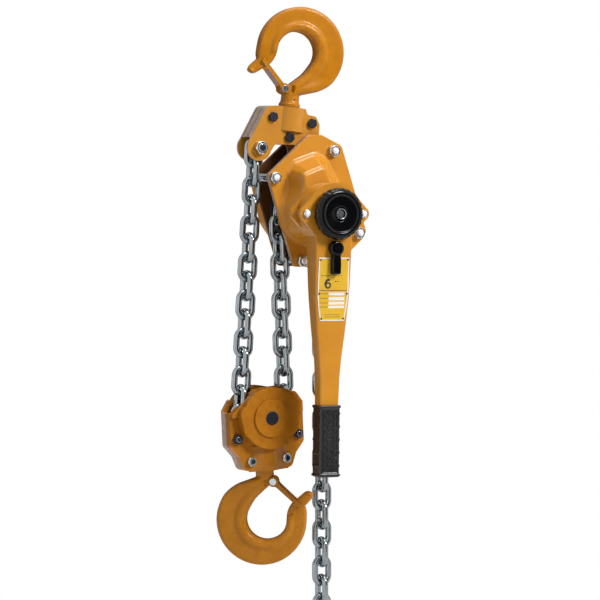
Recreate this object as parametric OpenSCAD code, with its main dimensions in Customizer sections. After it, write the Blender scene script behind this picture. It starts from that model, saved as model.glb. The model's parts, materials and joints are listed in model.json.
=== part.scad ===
// Lever chain hoist with two falls of load chain, hung by its top hook.
// The origin is the centre of the top hook's bowl, +Z is up, and the handwheel
// and the lever face -Y. Lengths are in millimetres, angles in degrees.

/* [Load chain] */
// Wire diameter of a chain link
chain_d = 9.8; // [9:0.1:10]
// Pitch of the chain
chain_pitch = 30; // [29.5:0.1:30.5]
// Inner width of a link
link_inner_w = 14; // [13:0.5:15]
// Slack along the chain at each joint between two links
link_slack = 0.4; // [0.2:0.1:0.6]
// Links that hang free on the loose end
tail_links = 23; // [18:1:26]
// Outer diameter of the end stop ring
stop_ring_d = 54; // [50:1:60]

/* [Hooks] */
// Radius of the hook bowl
bowl_r = 32; // [30:0.5:34]
// Outer radius of the hook's back
hook_back_r = 71.5; // [68:0.5:74]
// How far the back's centre lies behind the bowl's centre
hook_back_shift = 8.5; // [6:0.5:10]
// Thickness of the forging at its inner bead
hook_t = 30; // [27:0.5:31]
// Diameter of the hook's neck
neck_d = 28.6; // [27:0.2:30]
// Diameter of the collar over the neck
collar_d = 34; // [32:0.5:36]
// Height of the collar
collar_h = 8; // [6:0.5:9]
// Bowl centre to the collar's outer face
hook_reach = 88; // [86:0.5:90]
// Diameter of the swivel shank
shank_d = 24.8; // [23:0.2:26]
// Length of the shank between the collar and its head
shank_len = 10.4; // [9.4:0.2:12]
// Height of the shank's head
shank_head_h = 8; // [6:0.5:9]
// Turn of the top hook about its shank
top_hook_turn = -9; // [-15:1:0]
// Turn of the bottom hook about its shank
bottom_hook_turn = -33; // [-40:1:-20]
// Lean of the top hook and yoke from upright
yoke_lean = 7; // [5:0.5:9]

/* [Safety latches] */
// Diameter of a latch pin
latch_pin_d = 7; // [6:0.5:9]
// Diameter of the eye on the hook's neck
latch_eye_d = 18; // [16:0.5:19]
// Inner width between the latch's cheeks
latch_w = 21; // [20:0.5:22]
// Thickness of a latch cheek
latch_t = 2.5; // [2:0.1:3]
// Reach of the latch from its pin
latch_len = 56; // [54:0.5:57]

/* [Yoke] */
// Width between the two yoke plates
yoke_gap = 29; // [28:0.5:30]
// Thickness of a yoke plate
yoke_t = 4.5; // [4:0.5:5]
// Diameter of the boss around the shank
yoke_boss_d = 55; // [52:0.5:57]
// Height of the boss around the shank
yoke_boss_h = 38; // [34:0.5:40]
// Diameter of the pin that joins the yoke to the body
yoke_pin_d = 16; // [14:0.5:18]
// Diameter of the pin that holds the dead end of the chain
anchor_pin_d = 13; // [12:0.5:13.5]
// Diameter of a yoke bolt
yoke_bolt_d = 9; // [8:0.5:10]
// Width across flats of a yoke bolt's head
yoke_bolt_af = 14; // [13:0.5:15]

/* [Body] */
// Width between the two side plates
body_gap = 44; // [43:0.5:45]
// Thickness of a side plate
plate_t = 5; // [4:0.5:6]
// Diameter of a stay bolt
stay_d = 10; // [9:0.5:11]
// Width across flats of a stay nut
stay_nut_af = 17; // [16:0.5:18]
// Height of a stay nut
stay_nut_h = 9; // [8:0.5:10]
// Outer diameter of a sheave bearing
bearing_d = 54; // [50:0.5:56]
// Diameter of the load sheave's journals
journal_d = 36; // [34:0.5:38]
// Thickness of the pressed covers
cover_t = 3; // [2.5:0.5:3.5]
// Depth of the brake cover in front of its flange
brake_cover_depth = 40; // [39:0.5:42]
// Depth of the gear cover behind its flange
gear_cover_depth = 42; // [41:0.5:46]

/* [Sheaves] */
// Diameter of the load sheave over its teeth
sheave_d = 88; // [86:0.5:90]
// Width of the load sheave
sheave_w = 41; // [40:0.5:42]
// Width of the groove for the links on edge
groove_w = 12; // [11.5:0.25:13]
// Pitch radius of the idler sheave
idler_r = 40.5; // [40:0.25:41]

/* [Gear train] */
// Teeth of the pinion on the drive shaft
pinion_z = 9; // [9:9:9]
// Teeth of the large wheel on an intermediate gear
wheel_z = 36; // [36:36:36]
// Module of the first pair
first_module = 2; // [2:2:2]
// Teeth of the small pinion on an intermediate gear
small_z = 10; // [10:10:10]
// Teeth of the load gear
load_z = 30; // [30:30:30]
// Diameter of the drive shaft
drive_shaft_d = 16; // [15:0.5:17]
// Face width of the first pair of gears
first_face = 10; // [8:0.5:11]
// Face width of the second pair of gears
second_face = 13; // [11:0.5:14]

/* [Brake and lever] */
// Diameter of the ratchet disc over its teeth
ratchet_d = 76; // [74:0.5:78]
// Thickness of the ratchet disc
ratchet_t = 6; // [5:0.5:7]
// Thickness of a friction disc
friction_t = 3.5; // [3:0.5:4]
// Diameter of the changeover gear over its teeth
changeover_d = 66; // [64:0.5:68]
// Diameter of the handwheel
handwheel_d = 81; // [78:0.5:84]
// Depth of the handwheel
handwheel_h = 20; // [18:0.5:22]
// Diameter of the lever's head
lever_head_d = 96; // [94:0.5:98]
// Distance of the head's two ear bolts from the main axis
ear_reach = 50; // [48:0.5:52]
// Wall of the lever's pressed shells
lever_wall = 2.5; // [2:0.25:3]
// Width of the lever below its head
lever_w_top = 62; // [60:0.5:64]
// Width of the lever above its grip
lever_w_end = 33; // [32:0.5:34]
// Main axis to the end of the grip
lever_len = 412; // [405:1:418]
// Length of the grip
grip_len = 112; // [108:1:116]
// Width of the grip
grip_w = 35; // [34:0.5:37]
// Depth of the grip
grip_depth = 27.5; // [26:0.5:29]
// Lean of the lever from upright
lever_lean = 0.8; // [0:0.1:1.5]
// Distance of the selector's shaft from the main axis
selector_reach = 54; // [53.5:0.25:56]
// Diameter of the selector's head
selector_head_d = 24; // [22:0.5:25]
// Width of the selector's finger
selector_finger_w = 17; // [15:0.5:18]
// Shaft centre to the end of the selector's finger
selector_len = 41; // [38:0.5:43]

/* [Bottom block] */
// Half the width between the two flanges
block_gap = 20; // [19:0.5:21]
// Thickness of a block flange
flange_t = 5; // [4:0.5:5.5]
// Diameter of the drum on each half
drum_d = 98; // [97:0.5:100]
// Depth of the block over its drums
drum_depth = 64; // [63:0.5:66]
// Wall of a drum
drum_wall = 3; // [2.5:0.25:3.25]
// Diameter of the raised disc on a drum
disc_d = 60; // [56:1:64]
// Diameter of the block's axle
axle_d = 22; // [20:0.5:23]
// Diameter of a block bolt
block_bolt_d = 9; // [8:0.5:10]
// Lean of the block from upright
block_lean = 3; // [2:0.5:4]

/* [Hidden] */
$fn = 64;
facets = 32;
run = 0.06;              // running clearance, on the radius
seat = 0.3;              // gap between pieces that lie loose on each other
orange = [0.86, 0.52, 0.14];
steel = [0.70, 0.71, 0.73];
zinc = [0.62, 0.65, 0.68];
black = [0.08, 0.08, 0.09];
dark = [0.22, 0.22, 0.24];
primer = [0.36, 0.19, 0.07];

// Places in the body's frame, whose origin is the load sheave's axis
main_axis = [9, 0, -254];
bowl_at = [-main_axis.x, -main_axis.z];
anchor_at = [-82, 103];
stay_left = [-62, 55.5];
stay_top = [43, 97.6];
stay_right = [88, -33];
stay_bottom = [-13.5, -76];
stays = [stay_left, stay_top, stay_right, stay_bottom];
yoke_pin_at = [5, 100];
block_at = [-68, -323];
gear_dirs = [104, -52];  // directions of the two intermediate gears from the main axis

// Sizes that follow from the ones above
plate_out = body_gap / 2 + plate_t;
cover_face = -plate_out - cover_t - brake_cover_depth;
yoke_out = yoke_gap / 2 + yoke_t;
link_len = chain_pitch + link_slack;
link_outer_w = link_inner_w + 2 * chain_d;
sheave_r = chain_pitch / 2 / sin(22.5);
idler_step = 2 * asin(chain_pitch / 2 / idler_r);
collar_face = hook_reach;
head_face = hook_reach + shank_len;
head_end = head_face + shank_head_h;
second_module = first_module * (pinion_z + wheel_z) / (small_z + load_z);
gear_centre = first_module * (pinion_z + wheel_z) / 2;
hook_drop = block_sole() + hook_reach - 9;
function block_sole() = 84;

// ---------------------------------------------------------------- helpers

function unit(v) = v / norm(v);
function turned(v, a) = [v.x * cos(a) - v.y * sin(a), v.x * sin(a) + v.y * cos(a)];
function polar(r, a) = [r * cos(a), r * sin(a)];
function mix(a, b, t) = a + (b - a) * t;

// The arc of radius c.z that rounds the corner c between its neighbours a and b
function corner(a, c, b, n = 5) =
    let (p = [c.x, c.y], u = unit([a.x, a.y] - p), v = unit([b.x, b.y] - p),
         half = acos(max(-1, min(1, u * v))) / 2,
         centre = p + unit(u + v) * c.z / sin(half),
         from = p + u * c.z / tan(half), to = p + v * c.z / tan(half),
         a0 = atan2(from.y - centre.y, from.x - centre.x),
         a1 = atan2(to.y - centre.y, to.x - centre.x),
         sweep = (a1 - a0 + 540) % 360 - 180)
    c.z == 0 ? [p] : [for (i = [0:n]) centre + polar(c.z, a0 + sweep * i / n)];

// A closed outline whose corners [x, z, radius] are rounded
function rounded(pts, n = 5) =
    let (m = len(pts))
    [for (i = [0:m - 1]) each corner(pts[(i + m - 1) % m], pts[i], pts[(i + 1) % m], n)];

// A smooth run of values through the given ones
function smooth(p, steps) =
    let (m = len(p) - 1)
    concat([for (i = [0:m - 1], k = [0:steps - 1])
        let (t = k / steps, a = p[max(i - 1, 0)], b = p[i], c = p[i + 1], d = p[min(i + 2, m)])
        0.5 * (2 * b + (c - a) * t + (2 * a - 5 * b + 4 * c - d) * t * t
               + (3 * b - a - 3 * c + d) * t * t * t)], [p[m]]);

// A flat outline in X and Z, made solid from y0 to y1
module slab(y0, y1) {
    translate([0, y1, 0]) rotate([90, 0, 0]) linear_extrude(y1 - y0) children();
}

module rod(y0, y1, d, at = [0, 0]) {
    translate([at.x, y1, at.y]) rotate([90, 0, 0]) cylinder(h = y1 - y0, d = d);
}

module ring(y0, y1, d, bore, at = [0, 0]) {
    difference() {
        rod(y0, y1, d, at);
        rod(y0 - 1, y1 + 1, bore, at);
    }
}

// A hexagon from y0 to y1
module hexagon(y0, y1, af, at = [0, 0], turn = 0) {
    translate([at.x, y1, at.y]) rotate([90, turn, 0]) cylinder(h = y1 - y0, d = af / cos(30), $fn = 6);
}

// A closed skin over rings that all have the same number of points
module loft(rings) {
    m = len(rings[0]);
    last = len(rings) - 1;
    polyhedron(
        points = [for (r = rings) each r],
        faces = concat(
            [[for (j = [0:m - 1]) j]],
            [for (i = [0:last - 1], j = [0:m - 1]) each [
                [i * m + j, (i + 1) * m + j, (i + 1) * m + (j + 1) % m],
                [i * m + j, (i + 1) * m + (j + 1) % m, i * m + (j + 1) % m]]],
            [[for (j = [m - 1:-1:0]) last * m + j]]));
}

// A wire wound round the Y axis from the origin, in turns of 8 rings
module coil(wire, r, turns, pitch) {
    loft([for (i = [0:turns * 8])
        let (a = 45 * i, c = [r * cos(a), pitch * i / 8, r * sin(a)])
        [for (j = [5:-1:0]) let (q = polar(wire / 2, 60 * j))
            [c.x + q.x * cos(a), c.y + q.y, c.z + q.x * sin(a)]]]);
}

module in_body() { translate(main_axis) children(); }
module in_lever() { in_body() rotate([0, lever_lean, 0]) children(); }
module in_yoke() { rotate([0, yoke_lean, 0]) children(); }
module in_block() { in_body() translate([block_at.x, 0, block_at.y]) rotate([0, -block_lean, 0]) children(); }
module in_top_hook() { in_yoke() rotate([0, 0, top_hook_turn]) rotate([0, 180, 0]) children(); }
module in_bottom_hook() {
    in_block() translate([0, 0, -hook_drop]) rotate([0, 0, bottom_hook_turn]) children();
}

// ---------------------------------------------------------------- chain path

// Each joint between two links is a point in X and Z. The chain runs from the anchor pin down the dead
// fall, round the idler, up the live fall, over the load sheave and down the loose end.
dead_reach = norm(block_at - anchor_at);
dead_angle = atan2(block_at.y - anchor_at.y, block_at.x - anchor_at.x) - asin(idler_r / dead_reach);
dead_dir = polar(1, dead_angle);
first_joint = anchor_at - dead_dir * (anchor_pin_d / 2 + link_slack / 2);
dead_len = sqrt(dead_reach * dead_reach - idler_r * idler_r) + norm(first_joint - anchor_at);
live_reach = norm(block_at);
live_angle = atan2(block_at.y, block_at.x) + asin((sheave_r + idler_r) / live_reach);
live_dir = polar(1, live_angle + 180);
live_len = sqrt(pow(live_reach, 2) - pow(sheave_r + idler_r, 2));

// Angle past the tangent point of the first joint on a wheel, s before it on the straight
function lead_in(r, s) =
    acos((2 * r * r + s * s - chain_pitch * chain_pitch) / norm([2 * r * r, 2 * s * r]))
    - atan2(2 * s * r, 2 * r * r);
// Distance past the tangent point of the first joint on a straight, a degrees before it on the wheel
function lead_out(r, a) =
    sqrt(chain_pitch * chain_pitch - pow(r * (1 - cos(a)), 2)) - r * sin(a);

dead_n = floor(dead_len / chain_pitch);
idler_in = lead_in(idler_r, dead_len - dead_n * chain_pitch);
idler_wrap = live_angle - dead_angle + 180;
idler_n = floor((idler_wrap - idler_in) / idler_step);
live_in = lead_out(idler_r, idler_wrap - idler_in - idler_n * idler_step);
live_n = floor((live_len - live_in) / chain_pitch);
sheave_in = lead_in(sheave_r, live_len - live_in - live_n * chain_pitch);
sheave_wrap = 270 - live_angle;
sheave_from = live_angle + 270;
sheave_n = floor((180 + live_angle + 90 - sheave_in) / 45);
tail_in = lead_out(sheave_r, 180 + live_angle + 90 - sheave_in - sheave_n * 45);

dead_joints = [for (i = [0:dead_n]) first_joint + dead_dir * chain_pitch * i];
idler_joints = [for (i = [0:idler_n])
    block_at + polar(idler_r, dead_angle - 90 + idler_in + idler_step * i)];
live_foot = block_at + polar(idler_r, live_angle + 90);
live_joints = [for (i = [0:live_n]) live_foot + live_dir * (live_in + chain_pitch * i)];
sheave_joints = [for (i = [0:sheave_n])
    polar(sheave_r, live_angle + 270 - sheave_in - 45 * i)];
tail_joints = [for (i = [0:tail_links + 1]) [sheave_r, -tail_in - chain_pitch * i]];

link_dead = 0;
link_idler = dead_n;
link_live = link_idler + idler_n + 2;
link_sheave = link_live + live_n;
link_tail = link_sheave + sheave_n + 2;

// One link along +Z, lying in the XZ plane
module link() {
    reach = link_len / 2 - link_inner_w / 2;
    bend = (link_inner_w + chain_d) / 2;
    for (side = [0, 1]) mirror([0, 0, side]) translate([0, 0, reach])
        rotate([90, 0, 0]) rotate_extrude(angle = 180) translate([bend, 0]) circle(d = chain_d);
    for (side = [-1, 1]) translate([side * bend, 0, -reach]) cylinder(h = 2 * reach, d = chain_d);
}

// The links between successive joints; every second one is turned on edge
module links(joints, first) {
    for (i = [0:len(joints) - 2]) {
        middle = (joints[i] + joints[i + 1]) / 2;
        along = joints[i + 1] - joints[i];
        translate([middle.x, 0, middle.y])
            rotate([0, 90 - atan2(along.y, along.x), 0])
            rotate([0, 0, (first + i) % 2 == 0 ? 0 : 90])
            link();
    }
}

module chain_dead_fall() {
    color(zinc) in_body() links(dead_joints, link_dead);
}

module chain_idler_wrap() {
    color(zinc) in_body()
        links(concat([dead_joints[dead_n]], idler_joints, [live_joints[0]]), link_idler);
}

module chain_live_fall() {
    color(zinc) in_body() links(live_joints, link_live);
}

module chain_sheave_wrap() {
    color(zinc) in_body()
        links(concat([live_joints[live_n]], sheave_joints, [tail_joints[0]]), link_sheave);
}

module chain_tail() {
    color(zinc) in_body() links([for (i = [0:tail_links]) tail_joints[i]], link_tail);
}

// A welded ring through the last link, too wide to enter the hoist
module end_stop_ring() {
    wire = 9;
    bottom = tail_joints[tail_links];
    on_edge = (link_tail + tail_links) % 2 == 0 ? 0 : 90;
    color(zinc) in_body()
        translate([bottom.x, 0, bottom.y + (chain_pitch - link_len) / 2 + seat + wire - stop_ring_d / 2])
        rotate([0, 0, on_edge]) rotate([90, 0, 0])
        rotate_extrude() translate([(stop_ring_d - wire) / 2, 0]) circle(d = wire);
}

// ---------------------------------------------------------------- hooks

latch_pin_at = [13.7, 60.5];
latch_wire = 1.2;
latch_spring_room = 4.6;
eye_y = [1.5 - latch_w / 2, latch_w / 2 - 1.5 - latch_spring_room];
latch_open = 45;
latch_end = 3.2;

// Stations along the forging: inner point, outer point, roundness, share of the full thickness
neck_stations = [
    [neck_d / 2 - 0.5, 81, 0.5 - neck_d / 2, 81, 1, 1],
    [neck_d / 2 - 0.1, 68, -neck_d / 2 - 0.3, 69, 1, 1],
    [9, 56, -25, 64.5, 0.7, 1],
    [-4, 44.5, -44, 56.5, 0.25, 1],
    [-17, 32.5, -59.5, 45.5, 0, 1]];
back_stations = [for (a = [150:15:360])
    let (o = [-hook_back_shift, -1] + polar(hook_back_r, a), i = polar(bowl_r - 0.4, a))
    [i.x, i.y, o.x, o.y, 0, 1]];
tip_stations = [
    [bowl_r + 2, 12, 63.5, 11, 0, 0.85],
    [40.5, 23.5, 62.3, 18.5, 0, 0.72],
    [51, 32, 67, 23.5, 0.4, 0.68],
    [59.5, 39, 73, 30, 0.9, 0.68],
    [64, 41.8, 75.5, 35, 1, 0.9],
    [68, 42.6, 75.5, 39, 1, 0.6]];
hook_stations = smooth(concat(neck_stations, back_stations, tip_stations), 2);

// Half thickness of the forging, from the bowl's land over the bead and the valley to the back
section_at = [0, 0.05, 0.14, 0.27, 0.4, 0.52, 0.7, 0.86, 0.95, 1];
section_half = [8, 12, 14.5, 15, 13.2, 11.2, 11, 11, 9, 5.5] / 15;

function hook_ring(s) =
    let (inner = [s[0], s[1]], outer = [s[2], s[3]], width = norm(outer - inner), m = len(section_at),
         half = [for (k = [0:m - 1]) let (w = section_at[k])
             mix(section_half[k] * hook_t / 2, max(1.4, sqrt(w * (1 - w)) * width), s[4])
             * (s[4] >= 1 ? 1 : s[5])],
         line = [for (k = [0:m - 1]) mix(inner, outer, section_at[k])])
    concat([for (k = [0:m - 1]) [line[k].x, -half[k], line[k].y]],
           [for (k = [m - 1:-1:0]) [line[k].x, half[k], line[k].y]]);

// The whole forging in its own frame: bowl at the origin, shank up, tip towards +X
module hook_forging() {
    difference() {
        union() {
            loft([for (s = hook_stations) hook_ring(s)]);
            rod(eye_y[0], eye_y[1], latch_eye_d, latch_pin_at);
            translate([0, 0, 76]) cylinder(h = collar_face - 76, d = neck_d);
            translate([0, 0, collar_face - collar_h]) cylinder(h = collar_h, d = collar_d);
            translate([0, 0, collar_face - 1]) cylinder(h = shank_len + 2, d = shank_d);
            translate([0, 0, head_face]) cylinder(h = shank_head_h, d = collar_d);
        }
        rod(-hook_t, hook_t, 2 * bowl_r);
        rod(-hook_t, hook_t, latch_pin_d + 2 * run, latch_pin_at);
        rod(-hook_t, seat - latch_w / 2, 28, latch_pin_at);
        rod(latch_w / 2 - seat, hook_t, 28, latch_pin_at);
        rod(eye_y[1], hook_t, latch_pin_d + 5.4, latch_pin_at);
        latch_path();
    }
}

// Room on both sides of the tip for the latch's cheeks as they swing inward
module latch_path() {
    far = latch_len + latch_end + 1;
    for (s = [-1, 1]) slab(s > 0 ? latch_w / 2 - seat : -hook_t, s > 0 ? hook_t : seat - latch_w / 2)
        polygon([for (a = [-36:-6:-96]) latch_pin_at + polar(far, a), latch_pin_at + polar(26, -96),
                 latch_pin_at + polar(26, -36)]);
}

// A slim pressed channel whose cheeks straddle the eye and the hook's tip
module hook_latch() {
    half = latch_w / 2;
    along = polar(1, -45);
    side = [-along.y, along.x];
    tip_at = latch_pin_at + along * latch_len;
    eye_r = latch_pin_d / 2 + 4;
    cheek = concat(
        [for (a = [75:30:285]) latch_pin_at + polar(eye_r, a - 45)],
        [for (a = [-90:30:90]) tip_at + polar(latch_end, a - 45)]);
    function across(reach, out) = latch_pin_at + along * reach + side * out;
    difference() {
        union() {
            for (s = [-1, 1])
                slab(s > 0 ? half : -half - latch_t, s > 0 ? half + latch_t : -half) polygon(cheek);
            slab(-half - 0.5, half + 0.5) polygon([
                across(15, 5.2), across(latch_len - 15, 3.4), across(latch_len - 15, 1.4), across(15, 3)]);
        }
        rod(-hook_t, hook_t, latch_pin_d + 2 * run, latch_pin_at);
    }
}

module latch_pin() {
    out = latch_w / 2 + latch_t + seat;
    rod(-out - 2, out + 2, latch_pin_d, latch_pin_at);
    for (s = [-1, 1]) rod(s > 0 ? out : -out - 2.5, s > 0 ? out + 2.5 : -out, latch_pin_d + 4, latch_pin_at);
}

// A torsion spring wound round the pin, between the eye and the latch's cheeks
module latch_spring() {
    translate([latch_pin_at.x, eye_y[1] + 0.9, latch_pin_at.y])
        coil(latch_wire, latch_pin_d / 2 + 1, 2.5, 1.65);
}

module top_hook() { color(orange) in_top_hook() hook_forging(); }
module top_latch_pin() { color(steel) in_top_hook() latch_pin(); }
module top_latch() { color(orange) in_top_hook() hook_latch(); }
module top_latch_spring() { color(steel) in_top_hook() latch_spring(); }
module bottom_hook() { color(orange) in_bottom_hook() hook_forging(); }
module bottom_latch_pin() { color(steel) in_bottom_hook() latch_pin(); }
module bottom_latch() { color(orange) in_bottom_hook() hook_latch(); }
module bottom_latch_spring() { color(steel) in_bottom_hook() latch_spring(); }

// ---------------------------------------------------------------- yoke

// Places in the yoke's own frame: shank down the Z axis, bowl centre at the origin
function to_yoke(p) = let (d = p - bowl_at) turned(d, yoke_lean);
yoke_top = -hook_reach - 0.8;
yoke_anchor = to_yoke(anchor_at);
yoke_pivot = to_yoke(yoke_pin_at);
yoke_bolts_at = [[-37, -108], [33, -110], [-4, -137]];
anchor_lobe_r = 21;
pivot_lobe_r = 19;
yoke_outline = rounded([
    [20, yoke_top, 4], [-20, yoke_top, 4], [-48, yoke_top - 2.5, 12],
    [yoke_anchor.x - 20, yoke_anchor.y + 6, 6], [yoke_anchor.x - 4, yoke_anchor.y - 18, 6],
    [yoke_anchor.x + 20, yoke_anchor.y - 5, 4], [-27, -150, 6], [10, -147, 6],
    [yoke_pivot.x - 9, yoke_pivot.y - 16, 4], [yoke_pivot.x + 17, yoke_pivot.y + 4, 5],
    [48, -110, 9], [40, -98, 6], [25, -97, 3]]);

// One plate; side is -1 for the front and 1 for the rear
module yoke_plate(side) {
    inner = side > 0 ? yoke_gap / 2 : -yoke_out;
    rim = side > 0 ? [seat, inner + 1] : [inner + yoke_t - 1, -seat];
    difference() {
        union() {
            slab(inner, inner + yoke_t) {
                polygon(yoke_outline);
                translate(yoke_anchor) circle(r = anchor_lobe_r);
                translate(yoke_pivot) circle(r = pivot_lobe_r);
            }
            intersection() {
                translate([0, 0, yoke_top - yoke_boss_h]) cylinder(h = yoke_boss_h, d = yoke_boss_d);
                translate([-50, side > 0 ? seat / 2 : -50 - seat / 2, -200]) cube([100, 50, 200]);
            }
            intersection() {
                slab(rim[0], rim[1]) polygon(yoke_outline);
                slab(rim[0], rim[1]) polygon([
                    [-100, -144], [-67, -144], [-44.5, -97], [-20, -94], [-20, -60], [-100, -60]]);
            }
        }
        translate([0, 0, -200]) cylinder(h = 200, d = shank_d + 2);
        translate([0, 0, -head_end - 1.5]) cylinder(h = shank_head_h + 1.5 + 0.2, d = collar_d + 2);
        for (p = yoke_bolts_at) rod(-60, 60, yoke_bolt_d + 2 * run, p);
        rod(-60, 60, anchor_pin_d + 2 * run, yoke_anchor);
        rod(-60, 60, yoke_pin_d + 2 * run, yoke_pivot);
    }
}

module yoke_front_plate() { color(orange) in_yoke() yoke_plate(-1); }
module yoke_rear_plate() { color(orange) in_yoke() yoke_plate(1); }

// Three bolts with a shoulder that keeps the plates apart; heads at the front, nuts behind
module yoke_bolts() {
    color(dark) in_yoke() for (p = yoke_bolts_at) {
        rod(-yoke_out, yoke_out + 8, yoke_bolt_d, p);
        rod(-yoke_gap / 2, yoke_gap / 2, yoke_bolt_d + 2, p);
        hexagon(-yoke_out - 5.5, -yoke_out, yoke_bolt_af, p, 10);
        hexagon(yoke_out, yoke_out + 6, yoke_bolt_af, p, 10);
    }
}

module chain_anchor_pin() {
    color(steel) in_yoke() {
        rod(-yoke_out - 12, yoke_out + 1, anchor_pin_d, yoke_anchor);
        rod(yoke_out, yoke_out + 5, anchor_pin_d + 8, yoke_anchor);
    }
}

module chain_anchor_nut() {
    color(steel) in_yoke() difference() {
        hexagon(-yoke_out - 10, -yoke_out, 19, yoke_anchor);
        rod(-60, 60, anchor_pin_d + 2 * run, yoke_anchor);
    }
}

module yoke_pin() {
    color(steel) in_body() {
        rod(0.2 - plate_out, plate_out + cover_t, yoke_pin_d, yoke_pin_at);
        for (s = [-1, 1])
            rod(s > 0 ? yoke_out + seat : -body_gap / 2, s > 0 ? body_gap / 2 : -yoke_out - seat,
                yoke_pin_d + 8, yoke_pin_at);
    }
}

// ---------------------------------------------------------------- body

plate_outline = rounded([
    [stay_left.x - 11, stay_left.y + 4.5, 6],
    [yoke_pin_at.x - 5, yoke_pin_at.y + 23, 14],
    [yoke_pin_at.x + 18, yoke_pin_at.y + 23, 14],
    [stay_top.x + 16, stay_top.y + 8.5, 12],
    [stay_right.x + 16, stay_right.y + 3, 8],
    [stay_right.x + 10, stay_right.y - 9, 8],
    [45, -88, 10],
    [stay_bottom.x - 13, stay_bottom.y - 9, 8]]);

module plate_holes() {
    for (p = stays) rod(-60, 60, stay_d + 2 * run, p);
    rod(-60, 60, yoke_pin_d + 2 * run, yoke_pin_at);
}

module side_plate(y0) {
    difference() {
        slab(y0, y0 + plate_t) polygon(plate_outline);
        plate_holes();
        rod(-60, 60, bearing_d, [0, 0]);
        for (p = gear_posts) rod(-60, 60, gear_post_d, p);
        children();
    }
}

module side_plate_front() {
    color(orange) in_body() side_plate(-plate_out) {
        for (p = pawls_at) rod(-60, 60, pawl_pin_d, p);
    }
}

module side_plate_rear() { color(primer) in_body() side_plate(plate_out - plate_t); }

// Four stays; their shoulders set the width between the side plates
module stay_bolts() {
    front = -plate_out - cover_t - stay_nut_h - 4;
    back = plate_out + cover_t + stay_nut_h + 1;
    color(steel) in_body() for (p = stays) {
        rod(front, back, stay_d, p);
        if (p != stay_bottom) rod(-body_gap / 2, body_gap / 2, stay_d + 4, p);
    }
}

module stay_nuts() {
    color(steel) in_body() for (p = stays, s = [-1, 1]) difference() {
        hexagon(s > 0 ? plate_out + cover_t : -plate_out - cover_t - stay_nut_h,
                s > 0 ? plate_out + cover_t + stay_nut_h : -plate_out - cover_t, stay_nut_af, p, 15);
        rod(-80, 80, stay_d, p);
    }
}

module sheave_bearings() {
    color(steel) in_body() for (s = [-1, 1])
        ring(s > 0 ? body_gap / 2 : -plate_out, s > 0 ? plate_out : -body_gap / 2,
             bearing_d, journal_d + 2 * run);
}

// A curved strip that keeps the chain down in the sheave's pockets
module chain_guide() {
    guide_r = sheave_r * cos(22.5) + link_outer_w / 2 + 3;
    color(dark) in_body() difference() {
        ring(-body_gap / 2, body_gap / 2, 2 * guide_r + 6, 2 * guide_r);
        slab(-60, 60) polygon([[0, 0], polar(200, 62), polar(200, 135), polar(200, 225), polar(200, 315),
                               polar(200, -12)]);
    }
}

// A tongue in the sheave's groove that lifts the loose end out of it
module chain_stripper() {
    color(dark) in_body() difference() {
        union() {
            slab(-groove_w / 2 + 1, groove_w / 2 - 1) polygon(rounded([
                [-6, -24, 3], [8, -24, 3], [16, -44, 3], [10, -62, 3], [0, -62, 3]], 3));
            rod(-body_gap / 2, body_gap / 2, 14, [6, -56]);
        }
        rod(-60, 60, 6, [6, -56]);
    }
}

// The shape of the brake cover at a share t of its depth
module cover_slice(t, grow) {
    far = mix(0, 1, t);
    hull() {
        translate([mix(-22, -18, far), mix(73, 61, far)]) circle(r = mix(15, 11, far) + grow, $fn = facets);
        translate([mix(27, 12, far), mix(70, 58, far)]) circle(r = mix(15, 11, far) + grow, $fn = facets);
        translate([0, -2]) circle(r = mix(55, 50, far) + grow, $fn = facets + 16);
    }
}

module cover_bulge(depth, grow) {
    rim = 6;
    hull() {
        slab(-plate_out - cover_t - 0.1, -plate_out - cover_t + 0.9) cover_slice(0, grow);
        slab(-plate_out - cover_t - depth + rim, -plate_out - cover_t - depth + rim + 1)
            cover_slice(0.75, grow);
        slab(-plate_out - cover_t - depth, -plate_out - cover_t - depth + 1) cover_slice(1, grow - rim / 2);
    }
}

module brake_cover() {
    color(orange) in_body() difference() {
        union() {
            slab(-plate_out - cover_t, -plate_out) polygon(plate_outline);
            cover_bulge(brake_cover_depth, 0);
        }
        translate([0, 1.2, 0]) cover_bulge(brake_cover_depth - cover_t + 1.2, -cover_t);
        slab(-plate_out - cover_t - 1, 0) cover_slice(0, -cover_t - 0.5);
        for (p = stays) rod(-60, 60, stay_d + 2 * run, p);
        rod(-90, 0, changeover_hub_d + 6);
    }
}

// The room inside the gear cover: round both large wheels and the load gear
module gear_room(y0, y1, grow) {
    room = first_module * (wheel_z / 2 + 0.9) + 1.2;
    hull() for (p = concat([[0, 0]], gear_posts))
        translate([p.x, y1, p.y]) rotate([90, 0, 0]) cylinder(h = y1 - y0, r = room + grow, $fn = 48);
}

module gear_cover() {
    y0 = plate_out;
    y1 = y0 + gear_cover_depth;
    color(orange) in_body() difference() {
        union() {
            slab(y0, y0 + cover_t) polygon(plate_outline);
            hull() {
                gear_room(y0, y1 - 4, cover_t);
                gear_room(y0, y1, cover_t - 4);
            }
        }
        gear_room(y0 - 1, y1 - cover_t, 0);
        plate_holes();
    }
}

// Four cap screws that hold the gear cover's end plate
module gear_cover_screws() {
    y = plate_out + gear_cover_depth;
    color(steel) in_body() for (a = gear_dirs, t = [-1, 1]) {
        p = polar(gear_centre + 24, a + 14 * t);
        rod(y, y + 4, 9, p);
    }
}

// ---------------------------------------------------------------- load sheave and gears

gear_post_d = 14;
gear_posts = [for (a = gear_dirs) polar(gear_centre, a)];
first_y = plate_out + 22;
second_y = plate_out + 6;
pocket_floor = sheave_r * cos(22.5) - chain_d / 2 - 0.9;

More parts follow.
